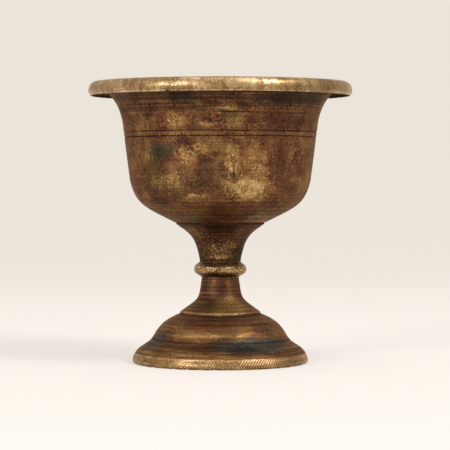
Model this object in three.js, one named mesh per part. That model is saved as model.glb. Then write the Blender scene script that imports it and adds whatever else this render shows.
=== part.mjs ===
// A pedestal ritual cup in cast and lathe-turned brass: a bowl with an out-turned, thick-edged rim,
// a funnel-shaped upper stem soldered face to face under it, a turned knop ring, and a hollow stepped foot.
// The stem's tenon runs down through the ring and the foot's neck and is peened over a rove inside the foot.
// Millimetres, +Z up, origin at the centre of the foot's underside, every piece turned about the Z axis.
import * as THREE from "three";

// Facets round the large and the small turned pieces.
const largeFacets = 60;
const smallFacets = 36;

// Steps along the outer and the inner curves of a profile.
const outerSteps = 8;
const innerSteps = 5;
const smallSteps = 4;

// Gap between faces that seat on each other, and round the tenon and the spigot.
const seatGap = 0.3;

// Foot: a rounded edge, a roll down to a valley, a dome, a small step, and a cone up to the neck.
const footRadius = 47.5;
const footEdgeHeight = 2; // level of the widest point
const footContactInset = 1; // the ring it stands on, in from the widest radius
const footContactWidth = 3.2;
const footValleyRadius = 37.2;
const footValleyHeight = 13.2;
const footStepRadius = 22.6;
const footStepHeight = 26.3;
const footStepInset = 1;
const footStepRise = 1.4;
const footNeckRadius = 10.2;
const footHeight = 45.6;
const footWall = 2.8;
const footWebRise = 1.8; // flat web inside the foot, above the level of the step

// Tenon and rove that clamp the stack.
const tenonRadius = 4;
const tenonHeadOverhang = 2.4;
const tenonHeadHeight = 2.4;
const tenonHeadEdge = 0.4;
const roveMargin = 2; // rove beyond the tenon's head
const roveThickness = 1.6;
const roveChamfer = 0.4;
const webMargin = 1.2; // web beyond the rove

// Knop ring between foot and stem.
const knopOverhang = 4.05; // beyond the foot's neck
const knopHeight = 9.2;
const knopLowerNeck = 0.4; // height of the plain neck under the knop
const knopUpperNeck = 0.8;

// Upper stem: a neck that flares into a funnel under the bowl.
const stemNeckRadius = 11.2;
const stemHeight = 19.5;
const stemSeatRadius = 24;
const spigotRadius = 9;
const spigotHeight = 2.4; // register that centres the bowl

// Layer of hard solder between the stem's top face and the bowl.
const solderThickness = 0.4;
const solderSetback = 0.5; // in from the edge of the seat

// Bowl: rounded belly, slightly flaring wall with two scribed grooves, and a coved flare into the rim.
const bowlSeatOverhang = 1.1; // beyond the stem's seat
const bowlBellyRadius = 48.85;
const bowlBellyHeight = 22.6; // above the bowl's seat
const bowlWallTopRadius = 52.3;
const bowlWallTopHeight = 49.5; // above the bowl's seat
const bowlWall = 2.6;
const bowlFloor = 2.6; // thickness over the spigot's recess
const bowlFloorBlend = 4; // height over which the floor sweeps up into the wall
const grooveDepth = 0.35;
const grooveHalfWidth = 0.35;
const grooveSpacing = 2.7;
const grooveBelowFlare = 1.1; // upper groove, below the start of the flare

// Rim: a thick, undercut flange with a narrow lip that hangs from its edge.
const rimRadius = 71.2;
const rimHeight = 7.4;
const rimTopHeight = 75.3; // above the bowl's seat
const rimLipWidth = 2;
const rimLipDrop = 3; // lip below the flange's underside
const rimLipChamfer = 0.4; // inner corner of the lip
const rimLipRounding = 1.3; // foot of the lip's outer face, in from the widest radius
const rimUndersideWidth = 7.2; // flat between the flare and the lip
const rimWidestRise = 2.9; // level of the widest point, above the lip's foot
const rimCrownInset = 2.9; // end of the crown, in from the widest radius

// How each curve of a profile bends: the angle at which it leaves its first point and meets its last,
// in degrees above the outward direction, and the share of the straight distance over which it holds each.
const footEdgeBend = { leave: 24, leaveHold: 0.37, meet: 90, meetHold: 0.45 };
const footRollBend = { leave: 103, leaveHold: 0.49, meet: 126, meetHold: 0.3 };
const footDomeBend = { leave: 126, leaveHold: 0.25, meet: 159, meetHold: 0.58 };
const footConeBend = { leave: 144, leaveHold: 0.61, meet: 98, meetHold: 0.58 };
const knopLowerBend = { leave: 32, leaveHold: 0.7, meet: 92, meetHold: 0.34 };
const knopUpperBend = { leave: 90, leaveHold: 0.41, meet: 147, meetHold: 0.44 };
const tenonHeadBend = { leave: 0, leaveHold: 0.53, meet: 90, meetHold: 0.14 };
const funnelBend = { leave: 80, leaveHold: 0.59, meet: 36, meetHold: 0.38 };
const bellyBend = { leave: 27, leaveHold: 0.54, meet: 77, meetHold: 0.42 };
const flareBend = { leave: 85, leaveHold: 0.56, meet: 48, meetHold: 0.25 };
const lipBend = { leave: 60, leaveHold: 0.3, meet: 88, meetHold: 0.5 };
const crownBend = { leave: 97, leaveHold: 0.62, meet: 165, meetHold: 0.2 };
const browBend = { leave: 182, leaveHold: 0.4, meet: 224, meetHold: 0.35 };
const floorBend = { leave: 0, leaveHold: 0.6, meet: 33, meetHold: 0.2 };

// Sizes that follow from the ones above.
const footContactRadius = footRadius - footContactInset;
const footMouthRadius = footContactRadius - footContactWidth;
const footWebHeight = footStepHeight + footWebRise;
const boreRadius = tenonRadius + seatGap;
const tenonHeadRadius = tenonRadius + tenonHeadOverhang;
const roveRadius = tenonHeadRadius + roveMargin;
const footWebRadius = roveRadius + webMargin;
const knopRadius = footNeckRadius + knopOverhang;
const rimLipInner = rimRadius - rimLipWidth;

// Levels of the stack, from the ground up.
const knopBase = footHeight + seatGap;
const stemBase = knopBase + knopHeight + seatGap;
const stemTop = stemBase + stemHeight;
const solderBase = stemTop + seatGap;
const bowlSeat = solderBase + solderThickness + seatGap;
const recessTop = stemTop + spigotHeight + seatGap;
const rimTop = bowlSeat + rimTopHeight;
const rimLipBase = rimTop - rimHeight;
const crownEnd = new THREE.Vector2(rimRadius - rimCrownInset, rimTop);
const roveTop = footWebHeight - seatGap;
const roveBase = roveTop - roveThickness;
const tenonHeadTop = roveBase - seatGap;
const tenonHeadBase = tenonHeadTop - tenonHeadHeight;

const brass = { color: 0x7a5a34, roughness: 0.48, metalness: 0.9 };

function material(changes = {}) {
  return new THREE.MeshStandardMaterial({ ...brass, ...changes });
}

function point(radius, height) {
  return new THREE.Vector2(radius, height);
}

// The point at a distance from another, in a direction given in degrees above the outward one.
function pointAlong(start, degrees, distance) {
  const angle = THREE.MathUtils.degToRad(degrees);
  return point(start.x + Math.cos(angle) * distance, start.y + Math.sin(angle) * distance);
}

// Points along a smooth curve that leaves its first point and meets its last one as the bend says.
function sweep(start, end, bend, steps) {
  const distance = start.distanceTo(end);
  const leaving = pointAlong(start, bend.leave, distance * bend.leaveHold);
  const meeting = pointAlong(end, bend.meet, -distance * bend.meetHold);
  return new THREE.CubicBezierCurve(start, leaving, meeting, end).getPoints(steps);
}

// The line that runs inside an outline at a set wall thickness, on the left of its direction of travel.
function inset(outline, wall) {
  return outline.map((here, i) => {
    const before = outline[Math.max(i - 1, 0)];
    const after = outline[Math.min(i + 1, outline.length - 1)];
    const along = after.clone().sub(before).normalize();
    return point(here.x - along.y * wall, here.y + along.x * wall);
  });
}

// A piece turned about +Z from a profile of (radius, height) points that starts and ends on the axis.
function turned(name, profile, facets, finish) {
  const geometry = new THREE.LatheGeometry(profile, facets);
  geometry.rotateX(Math.PI / 2);
  const mesh = new THREE.Mesh(geometry, finish);
  mesh.name = name;
  return mesh;
}

// The same for a ring: its profile closes on itself away from the axis.
function turnedRing(name, profile, facets, finish) {
  return turned(name, [...profile, profile[0]], facets, finish);
}

// The foot's roll and dome, from the widest point up to the step.
function footShell(steps) {
  const widest = point(footRadius, footEdgeHeight);
  const valley = point(footValleyRadius, footValleyHeight);
  const step = point(footStepRadius, footStepHeight);
  return [...sweep(widest, valley, footRollBend, steps), ...sweep(valley, step, footDomeBend, steps).slice(1)];
}

function foot() {
  const widest = point(footRadius, footEdgeHeight);
  const edge = sweep(point(footContactRadius, 0), widest, footEdgeBend, smallSteps);
  const coneStart = point(footStepRadius - footStepInset, footStepHeight + footStepRise);
  const cone = sweep(coneStart, point(footNeckRadius, footHeight), footConeBend, outerSteps);
  const outside = [...edge, ...footShell(outerSteps).slice(1), ...cone];
  // The hollow follows the dome and the roll at the wall's thickness, between the web and the mouth.
  const hollow = inset(footShell(innerSteps), footWall);
  const inside = hollow.filter((p) => p.x > footWebRadius && p.x < footMouthRadius && p.y < footWebHeight);
  const profile = [
    ...outside,
    point(boreRadius, footHeight),
    point(boreRadius, footWebHeight),
    point(footWebRadius, footWebHeight),
    ...inside.reverse(),
    point(footMouthRadius, 0),
  ];
  return turnedRing("foot", profile, largeFacets, material());
}

function rove() {
  const profile = [
    point(boreRadius, roveBase),
    point(roveRadius - roveChamfer, roveBase),
    point(roveRadius, roveBase + roveChamfer),
    point(roveRadius, roveTop),
    point(boreRadius, roveTop),
  ];
  return turnedRing("rove", profile, smallFacets, material({ color: 0x8a6a3c, roughness: 0.6 }));
}

function knopRing() {
  const lowerNeck = point(footNeckRadius, knopBase + knopLowerNeck);
  const widest = point(knopRadius, knopBase + knopHeight / 2);
  const upperNeck = point(stemNeckRadius, knopBase + knopHeight - knopUpperNeck);
  const profile = [
    point(boreRadius, knopBase),
    point(footNeckRadius, knopBase),
    ...sweep(lowerNeck, widest, knopLowerBend, smallSteps),
    ...sweep(widest, upperNeck, knopUpperBend, smallSteps).slice(1),
    point(stemNeckRadius, knopBase + knopHeight),
    point(boreRadius, knopBase + knopHeight),
  ];
  return turnedRing("knop_ring", profile, smallFacets, material({ color: 0x9a7644, roughness: 0.38 }));
}

function upperStem() {
  const headSide = point(tenonHeadRadius, tenonHeadTop - tenonHeadEdge);
  const profile = [
    ...sweep(point(0, tenonHeadBase), headSide, tenonHeadBend, smallSteps),
    point(tenonHeadRadius - tenonHeadEdge, tenonHeadTop),
    point(tenonRadius, tenonHeadTop),
    point(tenonRadius, stemBase),
    ...sweep(point(stemNeckRadius, stemBase), point(stemSeatRadius, stemTop), funnelBend, outerSteps),
    point(spigotRadius, stemTop),
    point(spigotRadius, stemTop + spigotHeight),
    point(0, stemTop + spigotHeight),
  ];
  return turned("upper_stem", profile, smallFacets, material({ roughness: 0.55 }));
}

function solderLayer() {
  const inner = spigotRadius + seatGap;
  const outer = stemSeatRadius - solderSetback;
  const profile = [
    point(inner, solderBase),
    point(outer, solderBase),
    point(outer, solderBase + solderThickness),
    point(inner, solderBase + solderThickness),
  ];
  return turnedRing("solder_layer", profile, smallFacets, material({ color: 0x8d7a4e, roughness: 0.6 }));
}

// The bowl's outer curves without its grooves: the belly from the seat up to the wall,
// and the flare from the top of the wall out to the flange's edge.
function bowlCurves(steps) {
  const seatEdge = point(stemSeatRadius + bowlSeatOverhang, bowlSeat);
  const belly = point(bowlBellyRadius, bowlSeat + bowlBellyHeight);
  const wallTop = point(bowlWallTopRadius, bowlSeat + bowlWallTopHeight);
  const flangeEdge = point(rimLipInner - rimUndersideWidth, rimLipBase + rimLipDrop);
  return {
    belly: sweep(seatEdge, belly, bellyBend, steps),
    flare: sweep(wallTop, flangeEdge, flareBend, steps),
  };
}

// A V groove scribed into the wall at a distance below the start of the flare.
function groove(wallTop, wallSlope, below) {
  const middle = wallTop.clone().addScaledVector(wallSlope, -below);
  return [
    middle.clone().addScaledVector(wallSlope, -grooveHalfWidth),
    point(middle.x - grooveDepth, middle.y),
    middle.clone().addScaledVector(wallSlope, grooveHalfWidth),
  ];
}

// The rim: its narrow lip and its crowned outer face.
function rimLine() {
  const lipFoot = point(rimRadius - rimLipRounding, rimLipBase);
  const widest = point(rimRadius, rimLipBase + rimWidestRise);
  return [
    point(rimLipInner, rimLipBase + rimLipDrop),
    point(rimLipInner, rimLipBase + rimLipChamfer),
    point(rimLipInner + rimLipChamfer, rimLipBase),
    ...sweep(lipFoot, widest, lipBend, smallSteps),
    ...sweep(widest, crownEnd, crownBend, smallSteps).slice(1),
  ];
}

// The bowl's inside, from the crown over the brow and down the wall to the middle of the floor.
function bowlInside() {
  const { belly, flare } = bowlCurves(innerSteps);
  const floorLevel = recessTop + bowlFloor;
  const wall = inset([...belly, ...flare], bowlWall).filter((p) => p.y > floorLevel + bowlFloorBlend);
  const floor = sweep(point(0, floorLevel), wall[0], floorBend, smallSteps).slice(0, -1);
  const brow = sweep(crownEnd, wall[wall.length - 1], browBend, smallSteps).slice(1, -1);
  return [...brow, ...[...floor, ...wall].reverse()];
}

function bowl() {
  const { belly, flare } = bowlCurves(outerSteps);
  const wallTop = flare[0];
  const wallSlope = wallTop.clone().sub(belly[belly.length - 1]).normalize();
  const recessRadius = spigotRadius + seatGap;
  const profile = [
    point(0, recessTop),
    point(recessRadius, recessTop),
    point(recessRadius, bowlSeat),
    ...belly,
    ...groove(wallTop, wallSlope, grooveBelowFlare + grooveSpacing),
    ...groove(wallTop, wallSlope, grooveBelowFlare),
    ...flare,
    ...rimLine(),
    ...bowlInside(),
  ];
  return turned("bowl", profile, largeFacets, material());
}

const cup = new THREE.Group();
cup.add(foot(), rove(), knopRing(), upperStem(), solderLayer(), bowl());

export default cup;
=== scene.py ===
"""A pedestal ritual cup in aged brass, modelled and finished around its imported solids.

Six turned pieces stand for the six solids: a bowl with an out-turned rim, a layer of hard solder,
a funnel-shaped stem with its tenon, a knop ring, a hollow stepped foot, and the rove inside the foot.
Outlines are drawn in millimetres as (radius, height) points; every mesh is in metres.
Azimuth 0 is the front, where the camera stands, and azimuth grows towards the right.
"""

from __future__ import annotations

import logging
import math
from dataclasses import dataclass
from enum import Enum
from typing import Callable, Mapping, Sequence

import bpy
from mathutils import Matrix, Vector, noise


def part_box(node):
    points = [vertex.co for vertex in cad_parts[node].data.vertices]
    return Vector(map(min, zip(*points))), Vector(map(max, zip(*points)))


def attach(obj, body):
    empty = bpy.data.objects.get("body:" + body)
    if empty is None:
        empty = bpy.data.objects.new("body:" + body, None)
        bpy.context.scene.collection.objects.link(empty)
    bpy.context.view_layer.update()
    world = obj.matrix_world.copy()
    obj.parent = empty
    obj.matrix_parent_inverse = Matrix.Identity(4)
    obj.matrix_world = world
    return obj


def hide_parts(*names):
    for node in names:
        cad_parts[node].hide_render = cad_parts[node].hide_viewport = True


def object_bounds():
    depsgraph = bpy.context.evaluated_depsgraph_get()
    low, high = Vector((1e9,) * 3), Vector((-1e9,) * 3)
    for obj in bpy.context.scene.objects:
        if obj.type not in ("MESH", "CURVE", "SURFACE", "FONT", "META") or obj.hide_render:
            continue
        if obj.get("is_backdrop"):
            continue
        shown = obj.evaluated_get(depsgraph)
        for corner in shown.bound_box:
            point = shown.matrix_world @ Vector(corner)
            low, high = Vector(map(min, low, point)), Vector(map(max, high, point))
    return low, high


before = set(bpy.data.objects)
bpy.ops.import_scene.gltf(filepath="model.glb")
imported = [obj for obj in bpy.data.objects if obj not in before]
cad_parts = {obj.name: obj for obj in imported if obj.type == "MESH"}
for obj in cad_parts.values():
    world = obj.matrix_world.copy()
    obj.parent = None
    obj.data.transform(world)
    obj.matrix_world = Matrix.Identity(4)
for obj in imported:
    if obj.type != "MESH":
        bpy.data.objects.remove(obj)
CAD_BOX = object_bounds()

LOG = logging.getLogger("ritual_cup")
MM = 0.001
FULL_TURN = 2 * math.pi
MERGE_DISTANCE = 0.000002
LEVEL_TOLERANCE = 0.01  # how much the ends of a level edge may differ, in millimetres
CHOICE_MARGIN = 0.1  # how far a choice of edges reaches past its radius or height, in millimetres
SHORTEST = 1e-9
SEAT_FILL = 0.12  # how far a seated face reaches into the gap that the solids keep, in millimetres
PATCH_FADE = (1.9, 0.1)  # where a patch starts and where it is whole, in half sizes from its middle
SCRATCH_FADE = 0.8  # over what length a scratch runs out, in millimetres
SHIFT_DIRECTION = (1.0, 0.7, 0.3)

Point = tuple[float, float]
Colour = tuple[float, float, float]


# Outlines


@dataclass(frozen=True)
class Bend:
    """How a curve leaves its first point and meets its last one.

    The angles are in degrees above the outward direction, and each hold is the share of the straight
    distance over which the curve keeps that angle. The steps are the straight pieces that stand for it.
    """

    leave: float
    leave_hold: float
    meet: float
    meet_hold: float
    steps: int = 40


def along(start: Point, degrees: float, distance: float) -> Point:
    """Returns the point at a distance from another, in a direction above the outward one."""
    angle = math.radians(degrees)
    return start[0] + math.cos(angle) * distance, start[1] + math.sin(angle) * distance


def sweep(start: Point, end: Point, bend: Bend, steps: int | None = None) -> list[Point]:
    """Draws a smooth curve between two points.

    Args:
        start: The first point, in millimetres.
        end: The last point.
        bend: The directions at both ends.
        steps: How many straight pieces stand for the curve, where it isn't the bend's own number.

    Returns:
        The points of the curve, both ends included.
    """
    count = steps or bend.steps
    distance = math.dist(start, end)
    leaving = along(start, bend.leave, distance * bend.leave_hold)
    meeting = along(end, bend.meet, -distance * bend.meet_hold)
    corners = (start, leaving, meeting, end)
    points = []
    for step in range(count + 1):
        share = step / count
        rest = 1 - share
        weights = (rest**3, 3 * rest * rest * share, 3 * rest * share * share, share**3)
        points.append(tuple(sum(w * c[axis] for w, c in zip(weights, corners)) for axis in (0, 1)))
    return points


def evenly(line: Sequence[Point], pitch: float) -> list[Point]:
    """Places points at an even pitch along a line.

    Args:
        line: The points of the line.
        pitch: The distance between the new points, in millimetres.

    Returns:
        The new points, with the line's two ends kept.
    """
    lengths = [math.dist(a, b) for a, b in zip(line, line[1:])]
    total = sum(lengths)
    count = max(1, round(total / pitch))
    points = []
    index = 0
    passed = 0.0
    for step in range(count):
        target = total * step / count
        while passed + lengths[index] < target:
            passed += lengths[index]
            index += 1
        share = (target - passed) / lengths[index]
        a, b = line[index], line[index + 1]
        points.append((a[0] + share * (b[0] - a[0]), a[1] + share * (b[1] - a[1])))
    return [*points, line[-1]]


def inset(line: Sequence[Point], depths: float | Sequence[float]) -> list[Point]:
    """Moves each point of a line to the left of its direction of travel.

    Args:
        line: The points of the line.
        depths: One distance for all the points, or a distance for each.

    Returns:
        The moved points.
    """
    each = [depths] * len(line) if isinstance(depths, (int, float)) else list(depths)
    moved = []
    for index, here in enumerate(line):
        before = line[max(index - 1, 0)]
        after = line[min(index + 1, len(line) - 1)]
        length = max(math.dist(before, after), SHORTEST)
        across = ((before[1] - after[1]) / length, (after[0] - before[0]) / length)
        moved.append((here[0] + across[0] * each[index], here[1] + across[1] * each[index]))
    return moved


def ripple(turns: float) -> float:
    """Returns a wave that is 0 at each whole turn and 1 halfway between."""
    return 0.5 - 0.5 * math.cos(FULL_TURN * turns)


@dataclass(frozen=True)
class TurningMarks:
    """The fine rings that a hand-held tool leaves on turned metal, cut into an outline."""

    pitch: float = 0.9
    depth: float = 0.02
    points_per_mark: int = 3
    slow_pitch: float = 5.3
    even_share: float = 0.35

    def cut(self, line: Sequence[Point]) -> list[Point]:
        """Cuts the rings into a line that travels with the metal on its left.

        Args:
            line: The smooth outline.

        Returns:
            The outline with its rings, still inside the smooth one.
        """
        spacing = self.pitch / self.points_per_mark
        points = evenly(line, spacing)
        depths = []
        for index in range(len(points)):
            travelled = index * spacing
            swell = self.even_share + (1 - self.even_share) * ripple(travelled / self.slow_pitch)
            depths.append(self.depth * ripple(travelled / self.pitch) * swell)
        depths[0] = depths[-1] = 0.0
        return inset(points, depths)


def scribed(middle: Point, slope: float, half_width: float, depth: float) -> list[Point]:
    """Draws a V groove with softened lips.

    Args:
        middle: The middle of the groove, on the uncut outline.
        slope: The direction of the outline there, in degrees.
        half_width: Half of the groove's width at its mouth.
        depth: How far the root lies inside the outline.

    Returns:
        The points of the groove, in the outline's direction of travel.
    """
    shape = ((-1.25, 0.0), (-1.0, 0.12), (-0.2, 0.95), (0.2, 0.95), (1.0, 0.12), (1.25, 0.0))
    points = []
    for share, sunk in shape:
        onward = along(middle, slope, share * half_width)
        points.append(along(onward, slope + 90, sunk * depth))
    return points


def rounded(before: Point, corner: Point, after: Point, radius: float, steps: int = 4) -> list[Point]:
    """Rounds a corner of an outline.

    Args:
        before: A point on the line that comes in.
        corner: The sharp corner.
        after: A point on the line that goes out.
        radius: How far from the corner the curve starts and ends.
        steps: How many straight pieces stand for the curve.

    Returns:
        The points of the rounded corner.
    """
    first = Vector(corner) + (Vector(before) - Vector(corner)).normalized() * radius
    last = Vector(corner) + (Vector(after) - Vector(corner)).normalized() * radius
    points = []
    for step in range(steps + 1):
        share = step / steps
        spot = first * (1 - share) ** 2 + Vector(corner) * 2 * share * (1 - share) + last * share**2
        points.append((spot.x, spot.y))
    return points


# Modelling


class Workbench:
    """The modelling operators, used as a modeller uses them by hand."""

    @staticmethod
    def clear() -> None:
        """Deselects everything and leaves no object active."""
        bpy.ops.object.select_all(action="DESELECT")
        bpy.context.view_layer.objects.active = None

    @staticmethod
    def take(piece: bpy.types.Object) -> None:
        """Selects one piece alone and makes it active.

        Args:
            piece: The piece.
        """
        Workbench.clear()
        piece.select_set(True)
        bpy.context.view_layer.objects.active = piece

    @staticmethod
    def trace(name: str, outline: Sequence[Point]) -> bpy.types.Object:
        """Draws an outline in the plane of the axis, vertex by vertex.

        Args:
            name: The name of the new object.
            outline: The points, in millimetres.

        Returns:
            The object, left in edit mode with all of its vertices selected.
        """
        Workbench.clear()
        start = Vector((outline[0][0], 0, outline[0][1])) * MM
        bpy.ops.mesh.primitive_plane_add(size=MM, location=(0, 0, 0))
        piece = bpy.context.active_object
        piece.name = name
        piece.data.name = name
        bpy.ops.object.mode_set(mode="EDIT")
        bpy.ops.mesh.select_mode(type="VERT")
        bpy.ops.mesh.select_all(action="SELECT")
        bpy.ops.mesh.merge(type="CENTER")
        bpy.ops.transform.translate(value=start)
        for (r0, z0), (r1, z1) in zip(outline, outline[1:]):
            move = Vector((r1 - r0, 0, z1 - z0)) * MM
            bpy.ops.mesh.extrude_vertices_move(TRANSFORM_OT_translate={"value": move})
        bpy.ops.mesh.select_all(action="SELECT")
        return piece

    @staticmethod
    def turn(name: str, outline: Sequence[Point], columns: int) -> bpy.types.Object:
        """Turns an outline about the Z axis, as on a lathe.

        Args:
            name: The name of the new object.
            outline: The points, which start and end on the axis or close on themselves.
            columns: How many faces go round.

        Returns:
            The closed piece, in object mode.
        """
        piece = Workbench.trace(name, outline)
        bpy.ops.mesh.spin(steps=columns, angle=FULL_TURN, center=(0, 0, 0), axis=(0, 0, 1))
        bpy.ops.mesh.select_all(action="SELECT")
        bpy.ops.mesh.remove_doubles(threshold=MERGE_DISTANCE)
        bpy.ops.mesh.normals_make_consistent(inside=False)
        bpy.ops.object.mode_set(mode="OBJECT")
        return piece

    @staticmethod
    def pick_edges(piece: bpy.types.Object, chosen: Callable[[Vector, Vector], bool]) -> None:
        """Selects edges of a piece by their place, and leaves it in edit mode.

        Args:
            piece: The active piece, in object mode.
            chosen: Says by the two ends of an edge, in millimetres, whether it is selected.
        """
        bpy.ops.object.mode_set(mode="EDIT")
        bpy.ops.mesh.select_mode(type="EDGE")
        bpy.ops.mesh.select_all(action="DESELECT")
        bpy.ops.object.mode_set(mode="OBJECT")
        vertices = piece.data.vertices
        for edge in piece.data.edges:
            edge.select = chosen(*(vertices[index].co / MM for index in edge.vertices))
        bpy.ops.object.mode_set(mode="EDIT")

    @staticmethod
    def divide(piece: bpy.types.Object, inner: float, reach: float, cuts: int) -> None:
        """Subdivides the level edges round a piece's lower outer edge, where it needs finer columns.

        Args:
            piece: The turned piece.
            inner: The radius outside which they lie, in millimetres.
            reach: The height below which they lie.
            cuts: How many cuts each edge gets.
        """

        def chosen(a: Vector, b: Vector) -> bool:
            """Returns whether an edge is level and lies there."""
            level = max(abs(a.z - b.z), abs(a.xy.length - b.xy.length)) < LEVEL_TOLERANCE
            return level and a.xy.length > inner and a.z < reach

        Workbench.take(piece)
        Workbench.pick_edges(piece, chosen)
        bpy.ops.mesh.subdivide(number_cuts=cuts)
        bpy.ops.object.mode_set(mode="OBJECT")

    @staticmethod
    def soften(piece: bpy.types.Object, degrees: float = 40) -> None:
        """Shades a piece smooth, apart from edges sharper than an angle."""
        Workbench.take(piece)
        bpy.ops.object.shade_smooth_by_angle(angle=math.radians(degrees))


def smooth_step(value: float, low: float, high: float) -> float:
    """Returns 0 below low, 1 above high, and a smooth rise between."""
    share = min(1.0, max(0.0, (value - low) / (high - low)))
    return share * share * (3 - 2 * share)


def on_ring(azimuth: float, radius: float, height: float) -> Vector:
    """Returns the point at an azimuth in degrees, a radius and a height."""
    angle = math.radians(azimuth)
    return Vector((radius * math.sin(angle), -radius * math.cos(angle), height))


@dataclass(frozen=True)
class HandWear:
    """Soft unevenness from hands, knocks and an uneven casting, pressed into a mesh."""

    broad_size: float = 17
    broad_depth: float = 0.16
    fine_size: float = 5
    fine_depth: float = 0.035
    fine_shift: tuple[float, float, float] = (31, 7, 11)
    level_normals: Point = (0.97, 0.995)  # how upright a normal is where the wear fades out

    def press(self, piece: bpy.types.Object) -> None:
        """Moves each vertex inwards along its normal by a smooth random depth.

        Args:
            piece: The piece, in object mode.
        """
        normals = [vertex.normal.copy() for vertex in piece.data.vertices]
        for vertex, normal in zip(piece.data.vertices, normals):
            place = vertex.co / MM
            broad = 0.5 + 0.5 * noise.noise(place / self.broad_size)
            fine = 0.5 + 0.5 * noise.noise(place / self.fine_size + Vector(self.fine_shift))
            depth = self.broad_depth * broad + self.fine_depth * fine
            share = 1 - smooth_step(abs(normal.z), *self.level_normals)
            vertex.co = vertex.co - normal * depth * share * MM


@dataclass(frozen=True)
class Chips:
    """Small chips scattered along an edge by two layers of noise."""

    height: float
    size: float
    fine_share: float
    start: float
    whole: float
    fine_size: float = 0.9

    def height_at(self, flat: Vector) -> float:
        """Returns how high the chips are at a spot of the edge, in millimetres."""
        found = noise.noise(flat / self.size) + self.fine_share * noise.noise(flat / self.fine_size)
        return self.height * smooth_step(found, self.start, self.whole)


@dataclass(frozen=True)
class Knock:
    """A small dent or chip in an edge: where it lies, how wide it is and how deep."""

    azimuth: float
    half_width: float
    depth: float
    core: float = 0.25

    def press(self, vertex: bpy.types.MeshVertex, reach: float) -> None:
        """Raises a vertex of a lower edge into the chip.

        Args:
            vertex: The vertex.
            reach: How much of the chip reaches this vertex, from 0 to 1.
        """
        flat = Vector((vertex.co.x, vertex.co.y, 0)) / MM
        away = (flat - on_ring(self.azimuth, flat.length, 0)).length / self.half_width
        vertex.co.z += self.depth * (1 - smooth_step(away, self.core, 1.0)) * reach * MM


# Shader nodes


class Field:
    """A number that varies over a surface: a shader socket that takes part in sums."""

    def __init__(self, sheet: NodeSheet, socket: bpy.types.NodeSocket) -> None:
        """Wraps a socket of a sheet of nodes."""
        self.sheet = sheet
        self.socket = socket

    def join(self, operation: str, *others: Field | float) -> Field:
        """Adds a Math node that joins this field, then the others, in order."""
        return self.sheet.maths(operation, self, *others)

    def __add__(self, other: Field | float) -> Field:
        """Returns the sum."""
        return self.join("ADD", other)

    __radd__ = __add__

    def __sub__(self, other: Field | float) -> Field:
        """Returns the difference."""
        return self.join("SUBTRACT", other)

    def __rsub__(self, other: float) -> Field:
        """Returns a number less this field."""
        return self.sheet.maths("SUBTRACT", other, self)

    def __mul__(self, other: Field | float) -> Field:
        """Returns the product."""
        return self.join("MULTIPLY", other)

    __rmul__ = __mul__

    def __truediv__(self, other: Field | float) -> Field:
        """Returns the quotient."""
        return self.join("DIVIDE", other)

    def __rtruediv__(self, other: float) -> Field:
        """Returns a number divided by this field."""
        return self.sheet.maths("DIVIDE", other, self)

    def __abs__(self) -> Field:
        """Returns the size without the sign."""
        return self.join("ABSOLUTE")

    def __or__(self, other: Field | float) -> Field:
        """Returns the larger of the two, as the union of two masks."""
        return self.join("MAXIMUM", other)

    __ror__ = __or__

    def within(self, low: float, high: float) -> Field:
        """Turns the field into a smooth mask.

        Args:
            low: The value at which the mask is 0.
            high: The value at which the mask is 1. The mask falls where it is the lower of the two.

        Returns:
            The mask.
        """
        inputs = {"Value": self, "From Min": low, "From Max": high}
        node = self.sheet.node("ShaderNodeMapRange", {"interpolation_type": "SMOOTHSTEP"}, inputs)
        return Field(self.sheet, node.outputs["Result"])


class Place:
    """A vector that varies over a surface, such as a point in millimetres."""

    def __init__(self, sheet: NodeSheet, socket: bpy.types.NodeSocket) -> None:
        """Wraps a vector socket of a sheet of nodes."""
        self.sheet = sheet
        self.socket = socket

    def join(self, operation: str, inputs: Mapping[str | int, object], output: str = "Vector") -> Place:
        """Adds a Vector Math node on this place and other inputs."""
        node = self.sheet.node("ShaderNodeVectorMath", {"operation": operation}, {0: self, **inputs})
        return Place(self.sheet, node.outputs[output])

    def __add__(self, other: Place | Sequence[float]) -> Place:
        """Returns the sum."""
        return self.join("ADD", {1: other})

    def __sub__(self, other: Place | Sequence[float]) -> Place:
        """Returns the difference."""
        return self.join("SUBTRACT", {1: other})

    def __mul__(self, factor: Place | Sequence[float]) -> Place:
        """Returns the place scaled along each axis."""
        return self.join("MULTIPLY", {1: factor})

    def scaled(self, factor: Field) -> Place:
        """Returns the place scaled evenly by a field."""
        return self.join("SCALE", {"Scale": factor})

    def length(self) -> Field:
        """Returns the distance from zero."""
        return Field(self.sheet, self.join("LENGTH", {}, "Value").socket)

    def dot(self, other: Place | Sequence[float]) -> Field:
        """Returns the dot product."""
        return Field(self.sheet, self.join("DOT_PRODUCT", {1: other}, "Value").socket)

    def axis(self, name: str) -> Field:
        """Returns the coordinate along X, Y or Z."""
        node = self.sheet.node("ShaderNodeSeparateXYZ", {}, {0: self})
        return Field(self.sheet, node.outputs[name])

    def leaning(self, degrees: float) -> Place:
        """Turns the place about the Y axis.

        Args:
            degrees: How far it is turned.

        Returns:
            The turned place.
        """
        inputs = {"Vector": self, "Angle": math.radians(degrees)}
        node = self.sheet.node("ShaderNodeVectorRotate", {"rotation_type": "Y_AXIS"}, inputs)
        return Place(self.sheet, node.outputs["Vector"])


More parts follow.
